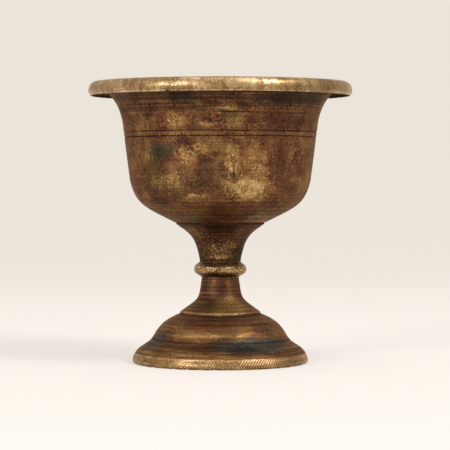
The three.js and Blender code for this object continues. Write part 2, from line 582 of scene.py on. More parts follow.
class NodeSheet:
    """A tree of shader nodes, written as expressions."""

    def __init__(self, tree: bpy.types.NodeTree) -> None:
        """Empties the tree."""
        self.tree = tree
        self.tree.nodes.clear()

    def node(
        self,
        kind: str,
        settings: Mapping[str, object] | None = None,
        inputs: Mapping[str | int, object] | None = None,
    ) -> bpy.types.Node:
        """Adds a node.

        Args:
            kind: The node's type.
            settings: The node's own settings, set before its sockets.
            inputs: Values or links of its sockets, by name, identifier or number.

        Returns:
            The new node.
        """
        made = self.tree.nodes.new(kind)
        for name, value in (settings or {}).items():
            setattr(made, name, value)
        for name, value in (inputs or {}).items():
            self.feed(self.socket(made, name), value)
        return made

    @staticmethod
    def socket(node: bpy.types.Node, name: str | int) -> bpy.types.NodeSocket:
        """Finds an input socket.

        Args:
            node: The node.
            name: The socket's number, identifier or name.

        Returns:
            The socket.
        """
        if isinstance(name, int):
            return node.inputs[name]
        return next((s for s in node.inputs if s.identifier == name), None) or node.inputs[name]

    def feed(self, socket: bpy.types.NodeSocket, value: object) -> None:
        """Links something to an input socket, or sets a plain value there.

        Args:
            socket: The input socket.
            value: A field, a place, an output socket or a plain value.
        """
        source = getattr(value, "socket", value)
        if isinstance(source, bpy.types.NodeSocket):
            self.tree.links.new(source, socket)
        else:
            socket.default_value = source

    def maths(self, operation: str, *values: Field | float) -> Field:
        """Adds a Math node that joins values in order."""
        node = self.node("ShaderNodeMath", {"operation": operation}, dict(enumerate(values)))
        return Field(self, node.outputs[0])

    def coordinate(self, name: str) -> Place:
        """Returns one of the texture coordinates."""
        return Place(self, self.node("ShaderNodeTexCoord").outputs[name])

    def blend(self, first: object, second: object, share: Field | float) -> bpy.types.NodeSocket:
        """Mixes two colours.

        Args:
            first: The colour at a share of 0.
            second: The colour at a share of 1.
            share: The share.

        Returns:
            The socket of the mixed colour.
        """
        inputs = {"Factor_Float": share, "A_Color": first, "B_Color": second}
        node = self.node("ShaderNodeMix", {"data_type": "RGBA"}, inputs)
        return next(s for s in node.outputs if s.identifier == "Result_Color")

    def ramp(self, share: Field, tones: Sequence[Colour]) -> bpy.types.NodeSocket:
        """Turns a field into a colour.

        Args:
            share: How far along the row the colour lies, from 0 to 1.
            tones: The row of tones.

        Returns:
            The socket of the colour.
        """
        node = self.node("ShaderNodeValToRGB", {}, {0: share})
        elements = node.color_ramp.elements
        while len(elements) < len(tones):
            elements.new(0.5)
        for index, element in enumerate(elements):
            element.position = index / (len(tones) - 1)
        for element, tone in zip(elements, tones):
            element.color = opaque(tone)
        return node.outputs["Color"]

    def seen(self) -> Field:
        """Tells the rays that show a surface from those that only carry its light.

        Returns:
            1 for a ray from the camera, a reflection or a refraction, and 0 for a ray of plain light.
        """
        rays = self.node("ShaderNodeLightPath").outputs
        straight = Field(self, rays["Is Camera Ray"]) | Field(self, rays["Is Glossy Ray"])
        return straight | Field(self, rays["Is Transmission Ray"])


@dataclass(frozen=True)
class Patch:
    """A patch of wear or tarnish: where it lies on the cup and how far it reaches."""

    azimuth: float
    height: float
    half_width: float
    half_height: float
    strength: float = 1.0


@dataclass(frozen=True)
class Scratch:
    """A straight scratch between two spots of azimuth and height. A dark one's strength is below 0."""

    start: Point
    end: Point
    strength: float
    half_width: float = 0.22


def patches_at(*rows: Sequence[float]) -> tuple[Patch, ...]:
    """Returns a patch for each row of azimuth, height, half width, half height and strength."""
    return tuple(Patch(*row) for row in rows)


class Shader(NodeSheet):
    """The nodes of one material."""

    def __init__(self, name: str) -> None:
        """Starts a material with one surface shader and the place on the object in millimetres.

        Args:
            name: The material's name.
        """
        self.material = bpy.data.materials.new(name)
        self.material.use_nodes = True
        super().__init__(self.material.node_tree)
        self.surface = self.node("ShaderNodeBsdfPrincipled")
        self.output = self.node("ShaderNodeOutputMaterial", {}, {"Surface": self.surface.outputs["BSDF"]})
        self.place = self.coordinate("Object") * (1 / MM, 1 / MM, 1 / MM)
        self.height = self.place.axis("Z")
        self.radius = (self.place * (1, 1, 0)).length()

    def noise(
        self,
        size: float,
        detail: float = 3,
        roughness: float = 0.55,
        stretch: Sequence[float] = (1, 1, 1),
        shift: float = 0,
        place: Place | None = None,
    ) -> Field:
        """Adds a noise field.

        Args:
            size: The size of its features, in millimetres.
            detail: How many finer layers it has.
            roughness: How strong the finer layers are.
            stretch: How much the features shrink along each axis.
            shift: How far the pattern is moved, so that two fields differ.
            place: Where the noise is read, or the place on the object.

        Returns:
            The field, mostly between -0.25 and 0.25.
        """
        where = (place or self.place) * tuple(stretch)
        moved = where + tuple(shift * part for part in SHIFT_DIRECTION) if shift else where
        inputs = {"Vector": moved, "Scale": 1 / size, "Detail": detail, "Roughness": roughness}
        return Field(self, self.node("ShaderNodeTexNoise", {}, inputs).outputs["Fac"]) - 0.5

    def ring(self, height: float, outer: float, inner: float) -> Field:
        """Returns the mask of a level ring, which fades between two distances from its height."""
        return abs(self.height - height).within(outer, inner)

    def stirred(self, amount: float, size: float, shift: float) -> Place:
        """Returns the place moved about by a noise, so that edges wander.

        Args:
            amount: How far it moves, in millimetres.
            size: The size of the noise's features.
            shift: How far the noise's pattern is moved.

        Returns:
            The moved place.
        """
        where = self.place + (shift, shift, shift)
        inputs = {"Vector": where, "Scale": 1 / size, "Detail": 4, "Roughness": 0.62}
        wander = Place(self, self.node("ShaderNodeTexNoise", {}, inputs).outputs["Color"])
        return self.place + (wander - (0.5, 0.5, 0.5)) * (amount, amount, amount)

    def wrapped(self, place: Place, radius: float) -> Place:
        """Returns a place moved level, towards the axis or away from it, onto a cylinder."""
        flat = place * (1, 1, 0)
        return flat.scaled(radius / flat.length()) + place * (0, 0, 1)

    def patches(self, spots: Sequence[Patch], radius: float, place: Place) -> Field:
        """Joins patches into one mask.

        Args:
            spots: The patches.
            radius: The radius of the cylinder on which they lie.
            place: Where the mask is read, on that cylinder.

        Returns:
            The mask, from 0 outside to 1 in the middle of a patch.
        """
        mask: Field | float = 0.0
        for spot in spots:
            stretch = (1 / spot.half_width, 1 / spot.half_width, 1 / spot.half_height)
            reach = ((place - on_ring(spot.azimuth, radius, spot.height)) * stretch).length()
            mask = mask | reach.within(*PATCH_FADE) * spot.strength
        return mask

    def scratch(self, mark: Scratch, radius: float, place: Place) -> Field:
        """Draws one scratch.

        Args:
            mark: The scratch.
            radius: The radius of the cylinder on which it lies.
            place: Where the mask is read, on that cylinder.

        Returns:
            The mask of the scratch.
        """
        start = on_ring(mark.start[0], radius, mark.start[1])
        end = on_ring(mark.end[0], radius, mark.end[1])
        middle, span = (start + end) / 2, end - start
        away = place - middle
        onward = away.dot(span.normalized())
        aside = (away.dot(away) - onward * onward).within(4 * mark.half_width**2, mark.half_width**2 / 4)
        return aside * abs(onward).within(span.length / 2, span.length / 2 - SCRATCH_FADE)

    def strokes(
        self, size: float, width: float, stretch: Sequence[float], lean: float, shift: float
    ) -> Field:
        """Returns thin short lines along a direction, as rubbing leaves them.

        Args:
            size: The spacing of the lines, in millimetres.
            width: How wide the lines are, as a share of the noise.
            stretch: How much the noise shrinks along each axis.
            lean: How far the lines are turned about the Y axis, in degrees.
            shift: How far the pattern is moved.

        Returns:
            The mask of the lines.
        """
        ridge = self.noise(size, 1.5, 0.5, stretch, shift, self.place.leaning(lean))
        return abs(ridge).within(width, 0.0)

    def set(self, **values: object) -> None:
        """Sets or links sockets of the surface shader, with spaces for underscores in their names."""
        for name, value in values.items():
            self.feed(self.surface.inputs[name.replace("_", " ")], value)

    def relief(self, height: Field, depth: float) -> None:
        """Feeds a bump of a depth in millimetres to the surface's normal."""
        inputs = {"Height": height, "Distance": depth * MM, "Strength": 1.0}
        self.set(Normal=self.node("ShaderNodeBump", {}, inputs).outputs["Normal"])


def opaque(colour: Colour) -> tuple[float, float, float, float]:
    """Returns a colour with its alpha."""
    return (*colour, 1.0)


# Finishes


@dataclass(frozen=True)
class BrassTones:
    """The tones of old brass: three rows from the deepest tarnish to bare metal, and the polished tone."""

    ruddy: tuple[Colour, ...] = (
        (0.030, 0.013, 0.008),
        (0.078, 0.027, 0.016),
        (0.152, 0.062, 0.026),
        (0.255, 0.127, 0.044),
        (0.395, 0.220, 0.084),
        (0.610, 0.405, 0.190),
    )
    olive: tuple[Colour, ...] = (
        (0.028, 0.020, 0.011),
        (0.068, 0.041, 0.019),
        (0.122, 0.071, 0.026),
        (0.225, 0.132, 0.042),
        (0.395, 0.240, 0.086),
        (0.610, 0.425, 0.195),
    )
    slate: tuple[Colour, ...] = (
        (0.016, 0.014, 0.009),
        (0.036, 0.030, 0.020),
        (0.070, 0.056, 0.035),
        (0.135, 0.101, 0.055),
        (0.270, 0.190, 0.100),
        (0.500, 0.380, 0.220),
    )
    # the pale tone of polished metal, also blended in as a painted highlight on the brightest rubbed spots
    polished: Colour = (0.80, 0.67, 0.50)


@dataclass(frozen=True)
class Marks:
    """How strong the fine marks of a surface are, as changes of its tone."""

    grain: float = 0.75
    flecks: float = 0.18
    crackle: float = 0.17
    strokes: float = 0.13
    rings: float = 0.6
    pits: float = 0.12


@dataclass(frozen=True)
class AgedBrass:
    """Old brass: mottled tarnish, rubbed where hands and cloths reach, pitted and finely ringed.

    The tone of the surface runs from 0, soot, to 1, bare metal. The hue runs from 0, ruddy, to 1, olive.
    """

    name: str
    surface_radius: float
    tone: float = 0.36
    hue: float = 0.35
    mottle: float = 0.8
    islands: float = 0.07
    gold_lift: float = 0.2
    bare_lift: float = 0.28
    dark_drop: float = 0.14
    sheen: float = 0.0
    brushed: tuple[float, float, float] = (1, 1, 1)
    marks: Marks = Marks()
    shift: float = 0.0
    gold: tuple[Patch, ...] = ()
    dark: tuple[Patch, ...] = ()
    ruddy: tuple[Patch, ...] = ()
    olive: tuple[Patch, ...] = ()
    slate: tuple[Patch, ...] = ()
    streaked: tuple[Patch, ...] = ()
    scratches: tuple[Scratch, ...] = ()
    tones: BrassTones = BrassTones()
    edge_tint: Colour = (0.8, 0.66, 0.52)
    wander: Point = (7, 10)  # how far the patches' edges wander, and over what size
    break_up: float = 1.9
    patch_edge: Point = (0.32, 0.74)
    patch_core: Point = (0.95, 1.75)
    slate_edge: Point = (0.25, 0.95)
    relief_depth: float = 0.06

    def local(self, shader: Shader) -> Field | float:
        """Returns what is added to the tone at places that only this piece has."""
        return 0.0

    def polish(self, shader: Shader) -> Field | float:
        """Returns where wear keeps the metal polished, from 0 to 1."""
        return self.sheen

    def area(
        self, shader: Shader, spots: Sequence[Patch], place: Place, rough: Field
    ) -> tuple[Field | float, Field | float]:
        """Returns a mask of patches whose edges break up, and one of their strongest parts.

        Args:
            shader: The material's nodes.
            spots: The patches.
            place: Where they are read.
            rough: The noise that breaks their edges up.

        Returns:
            The two masks, both 0 where there are no patches.
        """
        if not spots:
            return 0.0, 0.0
        reach = shader.patches(spots, self.surface_radius, place) + rough * self.break_up
        return reach.within(*self.patch_edge), reach.within(*self.patch_core)

    def rubbing(self, shader: Shader, gold: Field | float) -> Field:
        """Returns the fine marks of the surface: grain, flecks, crackle, strokes and turned rings.

        Args:
            shader: The material's nodes.
            gold: Where the metal is rubbed bright.

        Returns:
            What the marks add to the tone.
        """
        marks, shift = self.marks, self.shift
        grain = shader.noise(1.1, 4, 0.75, shift=shift)
        busy = shader.noise(9, 3, 0.6, shift=shift + 23).within(-0.05, 0.1)
        light = shader.noise(0.9, 1, 0.5, shift=shift + 17).within(0.1, 0.2) * busy
        black = shader.noise(0.85, 1, 0.5, shift=shift + 29).within(0.08, 0.17)
        crackle = shader.strokes(2.1, 0.09, (1, 1, 1), 0, shift + 47) * busy
        steep = shader.strokes(3.0, 0.05, (2.2, 2.2, 0.7), 24, shift + 61)
        crossing = shader.strokes(2.6, 0.05, (2.2, 2.2, 0.7), -38, shift + 73)
        area = shader.noise(8, 2, 0.5, shift=shift + 83).within(-0.02, 0.1)
        rings = shader.noise(22, 2, 0.6, stretch=(0.3, 0.3, 32), shift=shift + 5)
        ring_area = shader.noise(14, 2, 0.5, shift=shift + 37).within(-0.12, 0.12) * 0.8 + 0.2
        total = grain * ((gold * 0.6 + busy * 0.8 + 0.6) * marks.grain)
        total = total + light * marks.flecks - black * (gold * 0.7 + 0.3) * marks.flecks
        total = total + (steep - crossing * 0.8) * area * marks.strokes - crackle * marks.crackle
        return total + rings * ring_area * marks.rings

    def material(self) -> bpy.types.Material:
        """Builds the material.

        Returns:
            The material, ready for a piece's slot.
        """
        shader = Shader(self.name)
        place = shader.stirred(*self.wander, self.shift)
        spots = shader.wrapped(place, self.surface_radius)
        rough = shader.noise(6, 9, 0.72, self.brushed, self.shift + 3)
        worn = shader.noise(5, 9, 0.74, self.brushed, self.shift + 27)
        broad = shader.noise(15, 5, 0.6, shift=self.shift + 40, place=place)
        gold, bare = self.area(shader, self.gold, spots, rough)
        dark, deep = self.area(shader, self.dark, spots, worn)
        tone = broad * self.mottle + rough * (self.mottle * 0.4) + self.tone
        tone = tone + ((worn + broad * 0.7).within(-0.03, 0.08) - 0.5) * self.islands
        tone = tone + gold * self.gold_lift + bare * self.bare_lift - dark * self.dark_drop - deep * 0.08
        tone = tone + self.local(shader) + self.rubbing(shader, gold)
        if self.streaked:
            upright = shader.noise(3.2, 4, 0.7, (2.8, 2.8, 0.4), self.shift + 97)
            tone = tone + upright * shader.patches(self.streaked, self.surface_radius, spots) * 0.9
        exact = shader.wrapped(shader.place, self.surface_radius)
        for mark in self.scratches:
            tone = tone + shader.scratch(mark, self.surface_radius, exact) * mark.strength
        pit = shader.noise(0.9, 2, 0.5, shift=self.shift + 19).within(0.12, 0.2)
        pitted = pit * shader.noise(7, 2, 0.5, shift=self.shift + 31).within(0.0, 0.1)
        tone = tone - pitted * self.marks.pits
        clean = tone.within(0.25, 0.85)
        polish = self.polish(shader) * tone.within(0.1, 0.6) + clean * 0.12
        shader.set(Base_Color=self.colour(shader, tone, spots, rough, gold))
        shader.set(Metallic=clean * 0.1 + 0.86, Roughness=0.6 - clean * 0.1 - polish * 0.14 + rough * 0.2)
        shader.set(Coat_Weight=polish * 0.5 + 0.05, Coat_Roughness=0.3, Coat_IOR=1.45)
        shader.set(Specular_Tint=opaque(self.edge_tint))
        shader.relief(tone * 0.8 - pitted * 1.5, self.relief_depth)
        return shader.material

    def colour(
        self, shader: Shader, tone: Field, spots: Place, rough: Field, gold: Field | float
    ) -> bpy.types.NodeSocket:
        """Turns the tone into a colour, by hue between the ruddy and the olive row, and slate in its patches.

        Args:
            shader: The material's nodes.
            tone: The tone of the surface.
            spots: The place on which patches are read.
            rough: The noise that breaks edges up.
            gold: Where the metal is rubbed bright.

        Returns:
            The colour.
        """
        polish = self.polish(shader)
        hue = shader.noise(17, 4, 0.6, shift=self.shift + 51) * 2.4 + rough * 1.4 + gold * 0.3
        hue = hue + polish * 0.5 + self.hue
        if self.olive:
            hue = hue + shader.patches(self.olive, self.surface_radius, spots) * 0.8
        if self.ruddy:
            hue = hue - shader.patches(self.ruddy, self.surface_radius, spots) * 0.8
        colour = shader.blend(shader.ramp(tone, self.tones.ruddy), shader.ramp(tone, self.tones.olive), hue)
        # Polished metal is paler; on the brightest spots this blend is partly a painted highlight.
        colour = shader.blend(colour, opaque(self.tones.polished), polish * tone.within(0.55, 1.2) * 0.6)
        if not self.slate:
            return colour
        mask = shader.patches(self.slate, self.surface_radius, spots) + rough * 1.8
        mask = mask.within(*self.slate_edge)
        return shader.blend(colour, shader.ramp(tone - mask * 0.06, self.tones.slate), mask * 0.85)


@dataclass(frozen=True)
class BowlBrass(AgedBrass):
    """The bowl's brass: bright on the rim, tarnish and painted shade under it, darker in its grooves."""

    lip_inner: float = 69.2
    lip_base: float = 143.8
    flange_radius: float = 62.0
    flange_level: float = 146.8
    brow_top: float = 150.4
    groove_levels: tuple[float, ...] = ()
    lines: tuple[Patch, ...] = ()
    inside_tone: float = 0.04
    rim_tone: float = 0.34
    brow_fade: float = 2.6
    # the heights of the tarnish and painted shade under the rim
    shelter: Point = (133.5, 141.5)
    lower_turning: Point = (92, 84)
    upper_turning: Point = (131, 137)

    def rim(self, shader: Shader) -> Field:
        """Finds the lip and the crown.

        Args:
            shader: The material's nodes.

        Returns:
            Their mask.
        """
        leaning = shader.radius + (shader.height - self.lip_base) * 0.25
        lip = leaning.within(self.lip_inner + 0.1, self.lip_inner + 0.9)
        return lip | shader.height.within(self.brow_top - self.brow_fade, self.brow_top)

    def polish(self, shader: Shader) -> Field:
        """Returns where hands keep the rim polished."""
        return self.rim(shader)

    def rubbing(self, shader: Shader, gold: Field | float) -> Field:
        """Returns the fine marks of the surface, which are fainter on the rim.

        Args:
            shader: The material's nodes.
            gold: Where the metal is rubbed bright.

        Returns:
            What the marks add to the tone.
        """
        return super().rubbing(shader, gold) * (1 - self.rim(shader) * 0.3)

    def local(self, shader: Shader) -> Field:
        """Adds the rim's brightness, tarnish and painted shade below it, painted shade under the flange, and
        darker grooves.

        Args:
            shader: The material's nodes.

        Returns:
            What is added to the tone.
        """
        level, rim = shader.height, self.rim(shader)
        flat = shader.place * (1, 1, 0)
        outside = (shader.coordinate("Normal").dot(flat) / shader.radius).within(-0.3, -0.05)
        # Painted shade under the rim, partly tarnish: the outside is darker below the rim, with blotchy
        # edges.
        blotch = shader.noise(9, 5, 0.66, stretch=(0.8, 0.8, 1.5), shift=91)
        under = (level + blotch * 24).within(*self.shelter) * outside
        stains = shader.noise(5, 4, 0.65, stretch=(1.2, 1.2, 0.3), shift=133).within(0.02, 0.16)
        # The lip's lower edge is lighter: wear, partly a painted highlight on its rounded corner.
        lip_edge_wear_and_highlight = shader.ring(self.lip_base + 0.4, 0.6, 0.1) * 0.14
        # Painted shade in the recess under the flange.
        flange_shade = shader.radius.within(self.flange_radius - 1.5, self.flange_radius + 0.5)
        flange_shade = flange_shade * level.within(self.flange_level + 0.6, self.flange_level + 0.1)
        total = rim * (self.rim_tone - stains * 0.12 + lip_edge_wear_and_highlight)
        total = total + (1 - rim) * ((1 - outside) * self.inside_tone - under * 0.21 - flange_shade * 0.4)
        # Darker in and beside the scribed grooves, unevenly, and more in the lower one.
        groove_darkness = shader.noise(6, 4, 0.65, shift=57).within(-0.15, 0.06)
        for lower, groove in enumerate(reversed(self.groove_levels)):
            near = shader.ring(groove, 0.5, 0.16)
            total = total - near * (groove_darkness * 0.16 + (0.05 + 0.07 * lower)) * outside
        between = sum(self.groove_levels) / len(self.groove_levels)
        total = total + shader.ring(between, 1.1, 0.7) * outside * 0.07
        broken = shader.noise(2.5, 3, 0.6, shift=71).within(-0.2, 0.05)
        for line in self.lines:
            found = shader.patches((line,), self.surface_radius, shader.place) * broken * outside
            total = total - shader.ring(line.height, 0.55, 0.2) * found * 0.34
            total = total + shader.ring(line.height + 1, 0.6, 0.2) * found * 0.06
        turned = shader.noise(22, 2, 0.6, stretch=(0.25, 0.25, 32), shift=7)
        ends = level.within(*self.lower_turning) | level.within(*self.upper_turning)
        return total + turned * ends * (1 - rim) * outside * 0.8


@dataclass(frozen=True)
class ChatterNicks:
    """Two rows of nicks round the foot's band, the upper ones slanted, left by a chattering tool."""

    count: int = 186
    slant: float = 0.55  # how many nicks a line passes over in a millimetre of height
    depth: float = 0.15
    upper: Point = (2.3, 5.1)
    lower: Point = (1.1, 2.1)
    fade: float = 0.35
    whole_share: float = 0.75
    spans: tuple[Point, ...] = ((9, 42), (150, 34), (-112, 40))  # each stretch's middle and reach, in degrees

    def rows(self) -> tuple[tuple[Point, float], ...]:
        """Returns the lower and upper limit and the slant of each row."""
        return (self.upper, self.slant), (self.lower, 0.0)

    def depth_at(self, place: Vector) -> float:
        """Works out how deep the nicks are.

        Args:
            place: A place on the band, in millimetres.

        Returns:
            Their depth there.
        """
        azimuth = math.atan2(place.x, -place.y)
        found = max(
            smooth_step(math.cos(azimuth - math.radians(middle)), *self.span_limits(reach))
            for middle, reach in self.spans
        )
        phase = azimuth / FULL_TURN * self.count
        wave = 0.0
        for (low, high), slant in self.rows():
            window = smooth_step(place.z, low, low + self.fade) - smooth_step(place.z, high - self.fade, high)
            wave += window * ripple(phase - slant * place.z)
        return self.depth * found * wave

    def span_limits(self, reach: float) -> Point:
        """Returns the cosines between which a stretch of nicks fades out and is whole."""
        return math.cos(math.radians(reach)), math.cos(math.radians(reach * self.whole_share))

    def pattern(self, shader: Shader) -> Field:
        """Paints the same nicks: a painted highlight on the ridges between them and painted shade at their
        roots.

        Args:
            shader: The material's nodes.

        Returns:
            What they add to the tone.
        """
        level = shader.height
        azimuth = shader.place.axis("X").join("ARCTAN2", 0 - shader.place.axis("Y"))
        facing = (shader.place * (1, 1, 0)).scaled(1 / shader.radius)
        found: Field | float = 0.0
        for middle, reach in self.spans:
            found = found | facing.dot(on_ring(middle, 1, 0)).within(*self.span_limits(reach))
        wave: Field | float = 0.0
        for (low, high), slant in self.rows():
            window = level.within(low, low + self.fade) - level.within(high - self.fade, high)
            turned = azimuth * self.count - level * (slant * FULL_TURN)
            wave = window * turned.join("COSINE") * 0.5 + wave
        # How strong the painted glints and shade of the nicks are from place to place.
        uneven = shader.noise(2.0, 2, 0.5, stretch=(1, 1, 0.3), shift=283).within(-0.15, 0.12)
        return found * wave * (uneven * 0.42 + 0.1)


@dataclass(frozen=True)
class FootBrass(AgedBrass):
    """The foot's brass: rubbed bright on the handled band, darker in the valley, painted shade and highlight
    at the step.
    """

    band_top: float = 5.4
    valley: float = 13.2
    step: float = 26.6
    ledge_rise: float = 1.2
    line_drops: Point = (0.3, 2.3)  # how far two dark lines lie below the middle of the valley
    # the heights at which the painted contact shadow along the lower edge starts and is whole
    contact_shadow_levels: Point = (1.3, 0.3)
    # the heights over which the painted shade under the knop grows
    under_knop_shade_levels: Point = (36, 42)
    nicks: ChatterNicks = ChatterNicks()

    def band(self, shader: Shader) -> Field:
        """Returns the mask of the lower band."""
        return shader.height.within(self.band_top + 0.35, self.band_top - 0.25)

    def polish(self, shader: Shader) -> Field:
        """Returns where handling keeps the band polished."""
        return self.band(shader) * 0.6

    def local(self, shader: Shader) -> Field:
        """Adds the band's brightness, a darker valley, and painted shade, highlights and a contact shadow.

        Args:
            shader: The material's nodes.

        Returns:
            What is added to the tone.
        """
        band, level = self.band(shader), shader.height
        # A painted contact shadow: dark blotches along the lower edge.
        contact_shadow = level.within(*self.contact_shadow_levels) * shader.noise(2.4, 3, 0.6, shift=271).within(0.0, 0.1)
        edge = shader.ring(self.band_top - 0.1, 0.4, 0.1)
        valley = shader.ring(self.valley, 2.2, 0.2)
        # Painted shade in the crease at the step, and a painted highlight on the ledge above it.
        crease = shader.ring(self.step, 0.9, 0.15)
        ledge = shader.ring(self.step + self.ledge_rise, 0.6, 0.15)
        upper_line, lower_line = (self.valley - drop for drop in self.line_drops)
        lines = shader.ring(upper_line, 0.5, 0.15) | shader.ring(lower_line, 0.4, 0.12)
        total = band * 0.27 + edge * 0.08 - valley * 0.08 - lines * 0.2 - crease * 0.3 + ledge * 0.3
        turned = shader.noise(22, 2, 0.6, stretch=(0.25, 0.25, 21), shift=241) * (1 - band)
        # Painted shade under the knop: darker towards the top of the cone.
        under_knop_shade = level.within(*self.under_knop_shade_levels) * 0.05
        return total + turned * 0.45 - contact_shadow * 0.5 - under_knop_shade + self.nicks.pattern(shader)


# Pieces


class Fit(Enum):
    """Whether an outline meets the axis or closes on itself away from it."""

    SOLID = "solid"
    RING = "ring"


@dataclass
class TurnedPiece:
    """A piece turned on a lathe: its outline, its mesh and its finish."""

    name: str
    node: str
    slot: str
    columns: int = 192
    fit: Fit = Fit.RING
    wear: HandWear | None = HandWear()

    def __post_init__(self) -> None:
        """Reads the piece's place from the solid that it stands for."""
        low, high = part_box(self.node)
        self.base = low.z / MM
        self.top = high.z / MM
        self.widest = high.x / MM

    def outline(self) -> list[Point]:
        """Returns the closed outline, with the metal on the left of its direction of travel."""
        raise NotImplementedError

    def refine(self, piece: bpy.types.Object) -> None:
        """Adds what a lathe doesn't make. A plain piece has nothing."""

    def material(self) -> bpy.types.Material:
        """Returns the finish of the piece."""
        raise NotImplementedError

    def build(self) -> bpy.types.Object:
        """Models, finishes and places the piece.

        Returns:
            The finished object.
        """
        outline = self.outline()
        if self.fit is Fit.RING:
            outline = [*outline, outline[0]]
        piece = Workbench.turn(self.name, outline, self.columns)
        self.refine(piece)
        if self.wear:
            self.wear.press(piece)
        Workbench.soften(piece)
        piece.data.materials.append(self.material())
        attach(piece, "root")
        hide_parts(self.node)
        return piece


@dataclass
class Bowl(TurnedPiece):
    """The bowl and its out-turned rim, one casting turned inside and out."""

    name: str = "turned_bowl"
    node: str = "bowl"
    slot: str = "bowl_brass"
    fit: Fit = Fit.SOLID
    seat_radius: float = 25.1
    recess_radius: float = 9.3
    recess_depth: float = 1.7
    floor: float = 2.6
    wall: float = 2.6
    belly_radius: float = 48.85
    belly_height: float = 22.6
    wall_top_radius: float = 52.3
    wall_top_height: float = 49.5
    rim_height: float = 7.4
    lip_width: float = 2.0
    lip_drop: float = 3.0
    lip_chamfer: float = 0.4
    lip_rounding: float = 1.3
    underside_width: float = 7.2
    widest_rise: float = 2.9
    crown_inset: float = 2.9
    groove_gap: float = 2.7
    groove_below: float = 1.1
    groove_depth: float = 0.36
    groove_half_width: float = 0.3
    scribed_level: float = 133.9
    scribed_depth: float = 0.07
    lip_corner: float = 0.5
    lip_pitch: float = 0.35
    lip_cuts: int = 3
    crown_pitch: float = 0.4
    brow_pitch: float = 0.7
    brow_drop: float = 0.8
    inside_steps: int = 30
    inside_pitch: float = 1.1
    floor_blend: float = 4
    chips: Chips = Chips(0.3, 2.1, 0.5, 0.25, 0.9)
    chip_levels: Point = (0.2, 1.8)
    belly_marks: TurningMarks = TurningMarks(0.9, 0.02)
    wall_marks: TurningMarks = TurningMarks(0.8, 0.008)
    lower_flare_marks: TurningMarks = TurningMarks(0.9, 0.012)
    upper_flare_marks: TurningMarks = TurningMarks(0.82, 0.03)
    belly_bend: Bend = Bend(27, 0.54, 77, 0.42)
    flare_bend: Bend = Bend(85, 0.56, 48, 0.25)
    lip_bend: Bend = Bend(60, 0.3, 88, 0.5, 14)
    crown_bend: Bend = Bend(97, 0.62, 165, 0.2, 24)
    brow_bend: Bend = Bend(182, 0.4, 224, 0.35, 20)
    floor_bend: Bend = Bend(0, 0.6, 33, 0.2, 24)
    knocks: tuple[Knock, ...] = (
        Knock(-22.6, 1.3, 0.8),
        Knock(-61, 0.9, 0.3),
        Knock(34, 1.0, 0.35),
        Knock(140, 1.2, 0.6),
    )

    def __post_init__(self) -> None:
        """Works out the levels of the bowl from its solid."""
        super().__post_init__()
        self.belly = (self.belly_radius, self.base + self.belly_height)
        self.wall_top = (self.wall_top_radius, self.base + self.wall_top_height)
        self.lip_base = self.top - self.rim_height
        self.lip_inner = self.widest - self.lip_width
        self.crown_end = (self.widest - self.crown_inset, self.top)
        self.flange = (self.lip_inner - self.underside_width, self.lip_base + self.lip_drop)
        rise = self.wall_top[1] - self.belly[1]
        self.wall_slope = math.degrees(math.atan2(rise, self.wall_top[0] - self.belly[0]))

    def curves(self, steps: int | None = None) -> tuple[list[Point], list[Point]]:
        """Returns the belly from the seat to the wall, and the flare from the wall to the flange."""
        belly = sweep((self.seat_radius, self.base), self.belly, self.belly_bend, steps)
        return belly, sweep(self.wall_top, self.flange, self.flare_bend, steps)

    def grooves(self) -> list[float]:
        """Returns how far below the top of the wall the two scribed grooves lie, lower one first."""
        return [self.groove_below + self.groove_gap, self.groove_below]

    def wall_line(self) -> list[Point]:
        """Draws the wall with its two scribed grooves.

        Returns:
            Its points, without the first.
        """
        points: list[Point] = []
        start = self.belly
        for below in self.grooves():
            middle = along(self.wall_top, self.wall_slope, -below)
            groove = scribed(middle, self.wall_slope, self.groove_half_width, self.groove_depth)
            points += [*self.wall_marks.cut([start, groove[0]])[1:], *groove[1:]]
            start = groove[-1]
        return [*points, *self.wall_marks.cut([start, self.wall_top])[1:]]

    def flare_line(self, flare: Sequence[Point]) -> list[Point]:
        """Cuts the flare's turning marks and the fine scribed line above the wall.

        Args:
            flare: The smooth flare.

        Returns:
            Its points, without the first.
        """
        nearest = min(range(len(flare)), key=lambda i: abs(flare[i][1] - self.scribed_level))
        below, above = flare[: nearest + 1], flare[nearest:]
        (r0, z0), (r1, z1) = flare[nearest - 1], flare[nearest + 1]
        slope = math.degrees(math.atan2(z1 - z0, r1 - r0))
        line = scribed(flare[nearest], slope, self.groove_half_width, self.scribed_depth)
        lower = self.lower_flare_marks.cut(below)[1:-2]
        upper = self.upper_flare_marks.cut(above)[2:]
        return [*lower, *line, *upper]

    def rim_line(self) -> list[Point]:
        """Draws the rim.

        Returns:
            Its points, from the flange's edge, round the lip, to the inner end of its crown.
        """
        inner_top = (self.lip_inner, self.flange[1])
        inner_foot = (self.lip_inner, self.lip_base)
        lip_foot = (self.widest - self.lip_rounding, self.lip_base)
        widest = (self.widest, self.lip_base + self.widest_rise)
        return [
            *rounded(self.flange, inner_top, inner_foot, self.lip_corner),
            *rounded(inner_top, inner_foot, lip_foot, self.lip_chamfer),
            *evenly(sweep(lip_foot, widest, self.lip_bend), self.lip_pitch),
            *evenly(sweep(widest, self.crown_end, self.crown_bend), self.crown_pitch)[1:],
        ]

